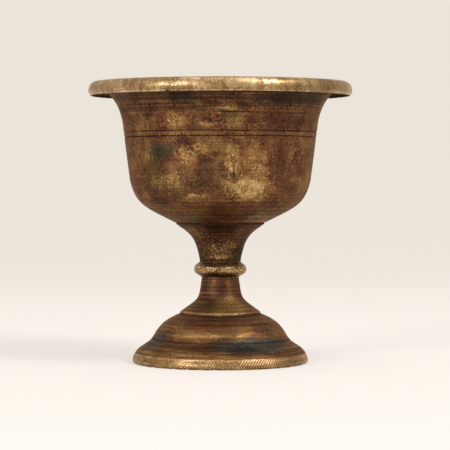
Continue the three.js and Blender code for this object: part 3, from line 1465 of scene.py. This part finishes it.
    def inside(self) -> list[Point]:
        """Draws the inside.

        Returns:
            Its points, from the crown down the wall to the middle of the floor.
        """
        belly, flare = self.curves(self.inside_steps)
        floor_level = self.base + self.recess_depth + self.floor
        wall = [p for p in inset([*belly, *flare], self.wall) if p[1] > floor_level + self.floor_blend]
        floor = sweep((0, floor_level), wall[0], self.floor_bend)
        brow = evenly(sweep(self.crown_end, wall[-1], self.brow_bend), self.brow_pitch)[1:-1]
        return [*brow, *reversed(evenly([*floor, *wall[1:]], self.inside_pitch))]

    def outline(self) -> list[Point]:
        """Draws the whole section of the bowl.

        Returns:
            Its points, from the seat's recess round the outside to the floor inside.
        """
        belly, flare = self.curves()
        recess_top = self.base + self.recess_depth
        seat_level = self.base - SEAT_FILL
        return [
            (0.0, recess_top),
            (self.recess_radius, recess_top),
            (self.recess_radius, seat_level),
            (self.seat_radius - SEAT_FILL, seat_level),
            *self.belly_marks.cut(belly),
            *self.wall_line(),
            *self.flare_line(flare),
            *self.rim_line(),
            *self.inside(),
        ]

    def refine(self, piece: bpy.types.Object) -> None:
        """Cuts the lip into fine columns and gives its lower edge small chips and knocks.

        Args:
            piece: The turned bowl.
        """
        inner = self.lip_inner - CHOICE_MARGIN
        start, reach = (self.lip_base + level for level in self.chip_levels)
        Workbench.divide(piece, inner, reach, self.lip_cuts)
        for vertex in piece.data.vertices:
            flat = Vector((vertex.co.x, vertex.co.y, 0)) / MM
            level = vertex.co.z / MM
            if flat.length > inner and level < reach:
                near = 1 - smooth_step(level, start, reach)
                vertex.co.z += self.chips.height_at(flat) * near * MM
                for knock in self.knocks:
                    knock.press(vertex, near)

    def material(self) -> bpy.types.Material:
        """Dresses the bowl in mottled brass, with its patches as they lie on the front.

        Returns:
            The material.
        """
        levels = tuple(self.wall_top[1] - below for below in self.grooves())
        return BowlBrass(
            name="bowl_aged_brass",
            surface_radius=self.wall_top_radius,
            tone=0.42,
            mottle=0.7,
            marks=Marks(grain=1.0, flecks=0.22, crackle=0.22, strokes=0.18, rings=0.45, pits=0.14),
            lip_inner=self.lip_inner,
            lip_base=self.lip_base,
            flange_radius=self.flange[0],
            flange_level=self.flange[1],
            brow_top=self.top - self.brow_drop,
            groove_levels=levels,
            lines=patches_at(
                (10.5, self.scribed_level, 10, 3, 1.2),
                (-22, 135.8, 8, 3, 0.7),
                (60, self.scribed_level, 20, 3, 0.4),
            ),
            gold=patches_at(
                (-12, 139, 4.5, 1.6, 0.7), (4.5, 135.6, 4, 1.0, 1.3), (-27, 128.6, 9, 3.6, 0.95),
                (-7, 127.6, 4, 2, 0.9), (7, 128.8, 5.2, 3.6, 1.0), (24.5, 127.5, 2, 1.4, 0.8),
                # The patches at azimuth -22 and 18 on the lower belly are rubbed metal, partly painted
                # highlights of the soft boxes.
                (-22, 110.5, 6.5, 4.5, 1.2), (-12, 116.5, 5, 2.5, 0.9), (7, 109, 3.6, 8, 1.2),
                (22, 110, 8, 7, 0.8), (24, 102, 7, 4.4, 1.2), (18, 94.4, 12.5, 5.2, 2.1),
                (8, 92.4, 6, 2.4, 1.1), (-36, 96.6, 12.5, 6, 0.7), (-16, 90.4, 7, 1.2, 1.2),
                (-52, 127, 12, 7, 0.6), (-27, 78.4, 9, 0.8, 1.1), (34, 79.4, 9, 1.0, 1.0),
                (48, 113, 3, 5, 0.8), (-49, 112, 2.6, 3.8, 0.8), (55, 98.6, 5, 4, 0.7),
                (150, 108, 14, 8), (-130, 98, 13, 6), (-165, 128, 11, 4), (110, 96, 12, 5),
                (95, 127, 8, 4), (-92, 106, 7, 9, 0.8),
            ),
            dark=patches_at(
                (13, 136.7, 4, 2.6), (-34.5, 129.6, 1.5, 1.5), (-15.6, 126.4, 4.6, 2.2),
                (-7.5, 129.6, 3, 1.9), (44, 129, 12.5, 5, 1.0), (-22, 118.6, 6.5, 2.2),
                (-8.5, 110, 4.4, 2.4, 1.4), (-9, 103, 5.5, 4.6, 1.1), (0, 105, 3.6, 2.4, 1.3),
                (4, 101.4, 4, 2.2, 1.3), (9, 98.8, 4.5, 1.6, 1.3), (39, 105, 4, 6.5, 0.9),
                (54, 107, 9, 13, 0.7), (-38, 110, 6, 6, 0.7), (-45, 88, 10, 2, 0.8),
                (-18, 141, 8, 3.4, 1.0), (0, 81, 9, 3.2, 1.0), (40, 141, 24, 4, 0.8),
                (175, 100, 13, 6), (-110, 118, 12, 8, 0.8), (125, 118, 11, 7),
                (53, 147.5, 15, 6, 1.4), (-70, 147.5, 9, 6, 0.7),
            ),
            ruddy=patches_at(
                (20, 106, 14, 12, 0.5), (35, 129, 30, 6), (50, 108, 12, 14), (0, 84, 30, 5),
                (-58, 127, 18, 9, 0.9), (-64, 104, 6, 14, 0.9), (160, 120, 20, 8),
            ),
            olive=patches_at(
                (6, 131, 7, 4), (-42, 112, 4.6, 5, 1.3), (-50, 98, 6, 10, 0.5),
                (3.7, 111, 5, 7, 0.4), (36, 79, 12, 3), (-150, 104, 18, 10),
            ),
            slate=patches_at(
                (-36, 114, 7.5, 5, 1.0), (-30, 78.6, 13, 2.6, 0.8), (-29, 120.8, 5, 1.2, 0.7),
                (-22, 141, 8, 3.6, 0.6), (42, 140.5, 26, 4, 0.7), (-140, 116, 10, 8),
            ),
            streaked=patches_at(
                (9, 103, 5, 8, 1.2), (36, 98, 7, 5, 1.2), (-40, 126, 12, 6, 0.7), (130, 104, 12, 8)
            ),
            scratches=(
                Scratch((-12.3, 113.5), (-3.6, 110), 0.22),
                Scratch((-4.4, 114), (-2.2, 110.5), -0.3, 0.3),
                Scratch((-0.4, 115), (-2.2, 110.5), -0.26, 0.26),
                Scratch((8, 109), (8.4, 99), -0.2, 0.3),
                Scratch((5.4, 108), (5, 98), 0.16),
                Scratch((12.5, 108), (12, 101), -0.16, 0.26),
                Scratch((-22, 91.2), (-13, 91), 0.24, 0.3),
                Scratch((-34, 124), (-30, 118), 0.14),
                Scratch((28, 104), (33, 96), -0.16),
                Scratch((-150, 112), (-141, 108), 0.2),
                Scratch((120, 110), (124, 98), -0.2),
            ),
        ).material()


@dataclass
class SolderLayer(TurnedPiece):
    """The thin layer of hard solder between the stem and the bowl, a little set back from the edge."""

    name: str = "solder_seam"
    node: str = "solder_layer"
    slot: str = "hard_solder"
    inner: float = 9.3
    fillet: float = 0.35
    roundness: float = 0.45
    wear: HandWear | None = None

    def outline(self) -> list[Point]:
        """Draws the ring.

        Returns:
            Its outline with a rounded outer edge.
        """
        low, high = self.base - SEAT_FILL, self.top + SEAT_FILL
        edge = self.widest + self.fillet
        bottom, top = (self.inner, low), (self.inner, high)
        radius = (high - low) * self.roundness
        side = ((edge, low), (edge, high))
        return [bottom, *rounded(bottom, *side, radius), *rounded(*side, top, radius), top]

    def material(self) -> bpy.types.Material:
        """Returns dull, darkened solder."""
        return AgedBrass("darkened_solder", self.widest, tone=0.16, mottle=0.6, shift=310).material()


@dataclass
class UpperStem(TurnedPiece):
    """The funnel under the bowl, its spigot, and the tenon whose head is peened inside the foot."""

    name: str = "funnel_stem"
    node: str = "upper_stem"
    slot: str = "stem_brass"
    fit: Fit = Fit.SOLID
    columns: int = 160
    neck_radius: float = 11.2
    neck_base: float = 55.4
    seat_radius: float = 24.0
    spigot_radius: float = 9
    spigot_height: float = 2.4
    tenon_radius: float = 4
    head_radius: float = 6.4
    head_height: float = 2.4
    head_edge: float = 0.4
    seat_rounding: float = 0.2
    funnel_marks: TurningMarks = TurningMarks(0.75, 0.035)
    funnel_bend: Bend = Bend(80, 0.59, 36, 0.38)
    head_bend: Bend = Bend(0, 0.53, 90, 0.14, 12)

    def outline(self) -> list[Point]:
        """Draws the whole section of the stem.

        Returns:
            Its points, from the tenon's head up to the spigot.
        """
        seat_level = self.top - self.spigot_height
        head_top = self.base + self.head_height
        head = sweep((0, self.base), (self.head_radius, head_top - self.head_edge), self.head_bend)
        seat = (self.seat_radius, seat_level)
        funnel = sweep((self.neck_radius, self.neck_base), seat, self.funnel_bend)
        lined = self.funnel_marks.cut(funnel)
        inner_seat = (self.spigot_radius, seat_level + SEAT_FILL)
        return [
            *head,
            (self.head_radius - self.head_edge, head_top),
            (self.tenon_radius, head_top),
            (self.tenon_radius, self.neck_base - SEAT_FILL),
            (self.neck_radius - SEAT_FILL, self.neck_base - SEAT_FILL),
            *lined[:-1],
            *rounded(lined[-2], (seat[0], seat_level + SEAT_FILL), inner_seat, self.seat_rounding),
            inner_seat,
            (self.spigot_radius, self.top),
            (0, self.top),
        ]

    def material(self) -> bpy.types.Material:
        """Dresses the stem in dark brass, rubbed in flecks at the front, with painted shade above the knop.

        Returns:
            The material.
        """
        return AgedBrass(
            name="stem_aged_brass",
            surface_radius=13,
            tone=0.29,
            hue=0.3,
            mottle=0.7,
            islands=0.1,
            gold_lift=0.16,
            brushed=(0.7, 0.7, 1.6),
            marks=Marks(grain=1.7, flecks=0.5, crackle=0.3, rings=1.5),
            shift=120,
            gold=patches_at(
                (6, 62, 10, 4.8, 0.9), (24, 61, 4, 3.6, 0.9), (-6, 57.3, 8, 0.7, 1.5),
                (170, 62, 8, 5), (-110, 65, 6, 4, 0.8),
            ),
            dark=patches_at(
                # The ring at height 55.6, just above the knop, is painted shade in the corner.
                (-4, 69.5, 7, 3.4, 1.1), (0, 74, 22, 1.5, 0.9), (0, 55.6, 60, 0.7, 1.2),
                (-60, 60, 6, 7, 0.9), (62, 60, 5, 6, 0.8),
            ),
        ).material()


@dataclass
class KnopRing(TurnedPiece):
    """The turned ring between the stem and the foot."""

    name: str = "knop"
    node: str = "knop_ring"
    slot: str = "knop_brass"
    columns: int = 160
    bore: float = 4.3
    lower_neck_radius: float = 10.2
    upper_neck_radius: float = 11.2
    lower_neck: float = 0.4
    upper_neck: float = 0.8
    swell_marks: TurningMarks = TurningMarks(0.9, 0.02)
    lower_bend: Bend = Bend(32, 0.7, 92, 0.34, 16)
    upper_bend: Bend = Bend(90, 0.41, 147, 0.44, 16)

    def outline(self) -> list[Point]:
        """Draws the ring.

        Returns:
            Its outline, from the bore round the outside.
        """
        middle = (self.widest, (self.base + self.top) / 2)
        low = (self.lower_neck_radius, self.base + self.lower_neck)
        high = (self.upper_neck_radius, self.top - self.upper_neck)
        swell = [*sweep(low, middle, self.lower_bend), *sweep(middle, high, self.upper_bend)[1:]]
        return [
            (self.bore, self.base - SEAT_FILL),
            (self.lower_neck_radius, self.base - SEAT_FILL),
            *self.swell_marks.cut(swell),
            (self.upper_neck_radius, self.top + SEAT_FILL),
            (self.bore, self.top + SEAT_FILL),
        ]

    def material(self) -> bpy.types.Material:
        """Dresses the knop in rubbed brass, with painted shade in the corners above and below.

        Returns:
            The material.
        """
        middle = (self.base + self.top) / 2
        return AgedBrass(
            name="knop_rubbed_brass",
            surface_radius=self.widest,
            tone=0.54,
            hue=0.25,
            gold_lift=0.22,
            dark_drop=0.3,
            sheen=0.8,
            marks=Marks(grain=1.3, flecks=0.4, crackle=0.3, rings=0.5, pits=0.3),
            shift=170,
            gold=tuple(Patch(azimuth, middle, 8, 2.2) for azimuth in range(-160, 200, 40)),
            # Painted shade: dark patches all round the corners above and below the swell.
            dark=tuple(
                Patch(azimuth, level, 9, 0.9)
                for azimuth in range(-160, 200, 40)
                for level in (self.base + 0.6, self.top - 0.5)
            ),
            ruddy=(Patch(-45, middle + 0.6, 5, 2), Patch(130, middle, 7, 2)),
        ).material()


@dataclass
class Foot(TurnedPiece):
    """The hollow foot: a nicked lower band, a roll, a valley, a dome, a step and a cone."""

    name: str = "stepped_foot"
    node: str = "foot"
    slot: str = "foot_brass"
    columns: int = 256
    edge_height: float = 2.0
    contact_inset: float = 1.0
    contact_width: float = 3.2
    band_height: float = 5.4
    valley_radius: float = 37.2
    valley_height: float = 13.2
    step_radius: float = 22.6
    step_height: float = 26.3
    step_inset: float = 1.0
    step_rise: float = 1.4
    neck_radius: float = 10.2
    wall: float = 2.8
    web_radius: float = 9.6
    web_rise: float = 1.8
    bore: float = 4.3
    band_pitch: float = 0.4
    crease_shift: Point = (-0.5, 0.05)
    crease_rounding: float = 0.3
    ledge_rounding: float = 0.4
    cone_start: int = 3  # the first point of the cone past the ledge's rounding
    hollow_steps: int = 16
    nick_cuts: int = 3
    nick_margins: Point = (1.0, 0.3)
    nicks: ChatterNicks = ChatterNicks()
    chips: Chips = Chips(0.6, 2.3, 0.6, 0.05, 0.75)
    chip_levels: Point = (0.3, 1.6)
    chip_slope: float = 0.35  # how deep a chip goes inwards, as a share of its height
    shell_marks: TurningMarks = TurningMarks(0.9, 0.03)
    cone_marks: TurningMarks = TurningMarks(0.85, 0.035)
    verdigris: tuple[Colour, ...] = (
        (0.016, 0.018, 0.017),
        (0.034, 0.038, 0.035),
        (0.066, 0.066, 0.056),
        (0.120, 0.108, 0.082),
        (0.250, 0.195, 0.130),
        (0.500, 0.390, 0.270),
    )
    edge_bend: Bend = Bend(24, 0.37, 90, 0.45, 10)
    roll_bend: Bend = Bend(103, 0.49, 126, 0.3)
    dome_bend: Bend = Bend(126, 0.25, 159, 0.58)
    cone_bend: Bend = Bend(144, 0.61, 98, 0.58, 50)

    def __post_init__(self) -> None:
        """Works out the foot's corner points from its solid."""
        super().__post_init__()
        self.edge = (self.widest, self.edge_height)
        self.contact = (self.widest - self.contact_inset, 0.0)
        self.valley = (self.valley_radius, self.valley_height)
        self.step = (self.step_radius, self.step_height)
        self.ledge = (self.step_radius - self.step_inset, self.step_height + self.step_rise)

    def shell(self, steps: int | None = None) -> tuple[list[Point], list[Point]]:
        """Returns the roll from the widest point to the valley, and the dome from there to the step."""
        roll = sweep(self.edge, self.valley, self.roll_bend, steps)
        return roll, sweep(self.valley, self.step, self.dome_bend, steps)

    def outside(self) -> list[Point]:
        """Draws the outside with its turning marks.

        Returns:
            Its points, from the contact ring to the neck.
        """
        roll, dome = self.shell()
        band = [p for p in roll if p[1] <= self.band_height]
        upper = [p for p in roll if p[1] > self.band_height]
        cone = sweep(self.ledge, (self.neck_radius, self.top), self.cone_bend)[self.cone_start :]
        crease = (self.step[0] + self.crease_shift[0], self.step[1] + self.crease_shift[1])
        return [
            *evenly(sweep(self.contact, self.edge, self.edge_bend), self.band_pitch)[:-1],
            *evenly(band, self.band_pitch)[:-1],
            *self.shell_marks.cut([band[-1], *upper])[:-1],
            *self.shell_marks.cut(dome)[:-1],
            *rounded(dome[-2], crease, self.ledge, self.crease_rounding)[1:],
            *rounded(crease, self.ledge, cone[0], self.ledge_rounding),
            *self.cone_marks.cut(cone)[1:],
        ]

    def outline(self) -> list[Point]:
        """Draws the whole section of the foot.

        Returns:
            Its points, round the outside from the contact ring and back through the hollow.
        """
        web = self.step_height + self.web_rise
        mouth = self.contact[0] - self.contact_width
        roll, dome = self.shell(self.hollow_steps)
        hollow = inset([*roll, *dome[1:]], self.wall)
        inside = [p for p in hollow if self.web_radius < p[0] < mouth and p[1] < web]
        return [
            *self.outside(),
            (self.neck_radius, self.top + SEAT_FILL),
            (self.bore, self.top + SEAT_FILL),
            (self.bore, web),
            (self.web_radius, web),
            *reversed(inside),
            (mouth, 0.0),
        ]

    def refine(self, piece: bpy.types.Object) -> None:
        """Cuts the band into fine columns, then gives it its chatter nicks and its chipped edge.

        Args:
            piece: The turned foot.
        """
        inner, reach = self.contact[0], self.band_height
        Workbench.divide(piece, inner - CHOICE_MARGIN, reach + CHOICE_MARGIN, self.nick_cuts)
        inner, reach = inner - self.nick_margins[0], reach + self.nick_margins[1]
        for vertex in piece.data.vertices:
            radius = math.hypot(vertex.co.x, vertex.co.y) / MM
            level = vertex.co.z / MM
            if radius > inner and level < reach:
                self.nick(vertex, radius, level)

    def nick(self, vertex: bpy.types.MeshVertex, radius: float, level: float) -> None:
        """Moves one vertex of the band into the pattern of nicks and chips.

        Args:
            vertex: The vertex.
            radius: Its distance from the axis, in millimetres.
            level: Its height.
        """
        place = vertex.co / MM
        low = 1 - smooth_step(level, *self.chip_levels)
        chip = self.chips.height_at(Vector((place.x, place.y, 0))) * low
        inward = (self.nicks.depth_at(place) + self.chip_slope * chip) / radius
        vertex.co.x *= 1 - inward
        vertex.co.y *= 1 - inward
        vertex.co.z += chip * MM

    def material(self) -> bpy.types.Material:
        """Dresses the foot in brass, with its patches as they lie on the front.

        Returns:
            The material.
        """
        return FootBrass(
            name="foot_aged_brass",
            surface_radius=33,
            tone=0.37,
            hue=0.3,
            mottle=0.42,
            gold_lift=0.15,
            bare_lift=0.13,
            dark_drop=0.12,
            brushed=(0.4, 0.4, 2.4),
            marks=Marks(grain=0.7, flecks=0.12, crackle=0.08, strokes=0.05, rings=1.4),
            shift=230,
            band_top=self.band_height,
            valley=self.valley_height,
            step=self.step_height + 0.2,
            nicks=self.nicks,
            gold=patches_at(
                (20, 31, 15, 3.4, 2.6), (-23, 43.5, 3.4, 1.6, 0.6), (24, 43.6, 6.5, 2.4, 1.0),
                (26, 38.5, 5, 2.8, 0.8), (-20, 16.4, 13, 2.8, 0.85), (24, 17.6, 6, 1.0, 0.8),
                (-17, 8.6, 13, 2, 0.9), (-60, 7, 7, 2, 0.8), (160, 20, 13, 5),
                (-120, 17, 12, 4), (95, 22, 10, 4),
            ),
            dark=patches_at(
                (-34, 33, 14, 5, 1.4), (-45, 43, 10, 6, 1.1), (-8, 39, 14, 5, 1.0),
                (-52, 16.6, 4.5, 3.4, 1.2), (-40, 23.5, 9, 2, 0.7), (50, 20, 6, 5, 0.35),
                (10, 9.6, 16, 1.6, 0.9), (25, 7.4, 14, 1.3), (-160, 12, 12, 3), (120, 14, 11, 3),
            ),
            ruddy=patches_at((40, 21, 7, 4, 0.4), (-52, 16.6, 5, 4, 0.7), (70, 8, 8, 4, 0.7)),
            olive=patches_at((-64, 12, 6, 5), (20, 31, 13, 4, 0.3), (-100, 20, 12, 8)),
            slate=patches_at(
                (33, 11.8, 18, 4, 1.2), (48, 18.5, 8, 5, 0.5), (-66, 13.5, 7, 5, 1.1), (-100, 24, 9, 4, 0.7)
            ),
            tones=BrassTones(slate=self.verdigris),
        ).material()


@dataclass
class Rove(TurnedPiece):
    """The washer over which the tenon's end is peened."""

    name: str = "peened_rove"
    node: str = "rove"
    slot: str = "rove_brass"
    columns: int = 96
    bore: float = 4.3
    chamfer: float = 0.4
    upper_chamfer: float = 0.15
    wear: HandWear | None = HandWear(6, 0.08, 2, 0.04)

    def outline(self) -> list[Point]:
        """Draws the washer.

        Returns:
            Its outline with a worn lower edge.
        """
        low, high = (self.bore, self.base), (self.bore, self.top)
        foot, side = (self.widest, self.base), (self.widest, self.top)
        worn = rounded(low, foot, side, self.chamfer)
        return [low, *worn, *rounded(foot, side, high, self.upper_chamfer), high]

    def material(self) -> bpy.types.Material:
        """Returns dull brass."""
        return AgedBrass("rove_dull_brass", self.widest, tone=0.42, mottle=0.5, shift=410).material()


# Studio


@dataclass(frozen=True)
class Lamp:
    """A soft box: where it stands round the cup, how large it is and how strong."""

    name: str
    azimuth: float
    elevation: float
    distance: float
    width: float
    height: float
    power: float
    colour: Colour = (1.0, 0.97, 0.93)

    def light(self, target: Vector) -> None:
        """Adds the lamp.

        Args:
            target: The point that it faces, in metres.
        """
        across, up = math.radians(self.azimuth), math.radians(self.elevation)
        back = Vector((math.sin(across) * math.cos(up), -math.cos(across) * math.cos(up), math.sin(up)))
        data = bpy.data.lights.new(self.name, "AREA")
        data.shape = "RECTANGLE"
        data.size = self.width
        data.size_y = self.height
        data.energy = self.power
        data.color = self.colour
        lamp = bpy.data.objects.new(self.name, data)
        lamp.location = target + back * self.distance
        lamp.rotation_euler = (-back).to_track_quat("-Z", "Y").to_euler()
        lamp.visible_camera = False
        bpy.context.scene.collection.objects.link(lamp)


@dataclass
class Studio:
    """The pale floor and backdrop, the lamps and the camera."""

    eye_distance: float = 1.080
    eye_height: float = 0.1018
    pitch: float = -1.46
    yaw: float = 0.135
    lens: float = 160
    sensor: float = 36
    sight: Point = (0.05, 40)
    aim_height: float = 0.08
    floor_half_width: float = 3.0
    floor_front: float = -4.0
    backdrop_start: float = 1.2
    backdrop_rise: float = 1.4
    backdrop_height: float = 3.0
    backdrop_segments: int = 24
    smooth_angle: float = 60
    backdrop_tone: Colour = (0.83, 0.775, 0.695)
    floor_tone: Colour = (0.94, 0.895, 0.855)
    floor_roughness: float = 0.9
    tone_fade: Point = (300, 1900)  # how far behind the cup the floor takes the backdrop's tone
    glow_fade: Point = (500, 1700)
    floor_glow: float = 0.55
    air_strength: float = 0.6
    lamps: tuple[Lamp, ...] = (
        Lamp("soft_box_left", -41, 22, 2.2, 0.6, 0.8, 21),
        Lamp("soft_box_right", 52, 43, 2.2, 0.6, 0.8, 24),
        Lamp("overhead", 10, 80, 2.4, 1.8, 1.5, 9),
    )

    def camera(self) -> None:
        """Adds the camera where the photograph was taken from."""
        data = bpy.data.cameras.new("camera")
        data.lens = self.lens
        data.sensor_width = self.sensor
        data.clip_start, data.clip_end = self.sight
        camera = bpy.data.objects.new("camera", data)
        camera.location = (0, -self.eye_distance, self.eye_height)
        camera.rotation_euler = (math.radians(90 + self.pitch), 0, -math.radians(self.yaw))
        bpy.context.scene.collection.objects.link(camera)
        bpy.context.scene.camera = camera

    def backdrop(self) -> None:
        """Adds the floor, which sweeps up into the backdrop behind the cup."""
        depth = self.backdrop_start + self.backdrop_rise - self.floor_front
        back = depth / 2 / MM

        def at_back(a: Vector, b: Vector) -> bool:
            """Returns whether an edge runs along the back of the floor."""
            return all(math.hypot(end.y - back, end.z) < CHOICE_MARGIN for end in (a, b))

        Workbench.clear()
        bpy.ops.mesh.primitive_plane_add(size=1, location=(0, self.floor_front + depth / 2, 0))
        floor = bpy.context.active_object
        floor.name = "floor_and_backdrop"
        bpy.ops.object.mode_set(mode="EDIT")
        bpy.ops.mesh.select_all(action="SELECT")
        bpy.ops.transform.resize(value=(2 * self.floor_half_width, depth, 1))
        Workbench.pick_edges(floor, at_back)
        up = {"value": (0, 0, self.backdrop_height)}
        bpy.ops.mesh.extrude_region_move(TRANSFORM_OT_translate=up)
        Workbench.pick_edges(floor, at_back)
        bpy.ops.mesh.bevel(offset=self.backdrop_rise, segments=self.backdrop_segments, affect="EDGES")
        bpy.ops.object.mode_set(mode="OBJECT")
        bpy.ops.object.transform_apply(location=True, rotation=True, scale=True)
        Workbench.soften(floor, self.smooth_angle)
        floor.data.materials.append(self.paper())
        floor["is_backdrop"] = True

    def paper(self) -> bpy.types.Material:
        """Makes the pale floor's material, which shows the backdrop's own tone far away.

        Returns:
            The material.
        """
        shader = Shader("pale_paper")
        away = shader.place.axis("Y")
        tones = (opaque(self.floor_tone), opaque(self.backdrop_tone))
        colour = shader.blend(*tones, away.within(*self.tone_fade))
        shader.set(Base_Color=colour, Roughness=self.floor_roughness)
        glow = shader.node("ShaderNodeEmission", {}, {"Color": colour, "Strength": 1.0})
        share = shader.seen() * (away.within(*self.glow_fade) * (1 - self.floor_glow) + self.floor_glow)
        inputs = {0: share, 1: shader.surface.outputs[0], 2: glow.outputs[0]}
        mixed = shader.node("ShaderNodeMixShader", {}, inputs)
        shader.feed(shader.output.inputs["Surface"], mixed.outputs[0])
        return shader.material

    def air(self) -> None:
        """Lights the scene evenly, and shows the backdrop's tone to the camera and in reflections."""
        world = bpy.data.worlds.new("studio_air")
        world.use_nodes = True
        sheet = NodeSheet(world.node_tree)
        strength = sheet.seen() * (1 - self.air_strength) + self.air_strength
        inputs = {"Color": opaque(self.backdrop_tone), "Strength": strength}
        light = sheet.node("ShaderNodeBackground", {}, inputs)
        sheet.node("ShaderNodeOutputWorld", {}, {"Surface": light.outputs[0]})
        bpy.context.scene.world = world

    def build(self) -> None:
        """Builds the whole studio and sets a plain view."""
        self.camera()
        self.backdrop()
        self.air()
        for lamp in self.lamps:
            lamp.light(Vector((0, 0, self.aim_height)))
        bpy.context.scene.view_settings.view_transform = "Standard"
        LOG.info("studio: %d lamps", len(self.lamps))


def write_sizes() -> None:
    """Works out the box of the solids and the box of the finished cup, in metres, and writes neither."""
    boxes = {"cad": CAD_BOX, "visual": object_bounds()}
    {name: [list(low), list(high)] for name, (low, high) in boxes.items()}


def main() -> None:
    """Builds the studio and the cup's six pieces in order."""
    logging.basicConfig(level=logging.INFO, format="%(name)s %(message)s")
    Studio().build()
    for part in (Foot(), Rove(), KnopRing(), UpperStem(), SolderLayer(), Bowl()):
        piece = part.build()
        LOG.info("%s: %d vertices, %d faces", piece.name, len(piece.data.vertices), len(piece.data.polygons))
    write_sizes()


if __name__ == "__main__":
    main()
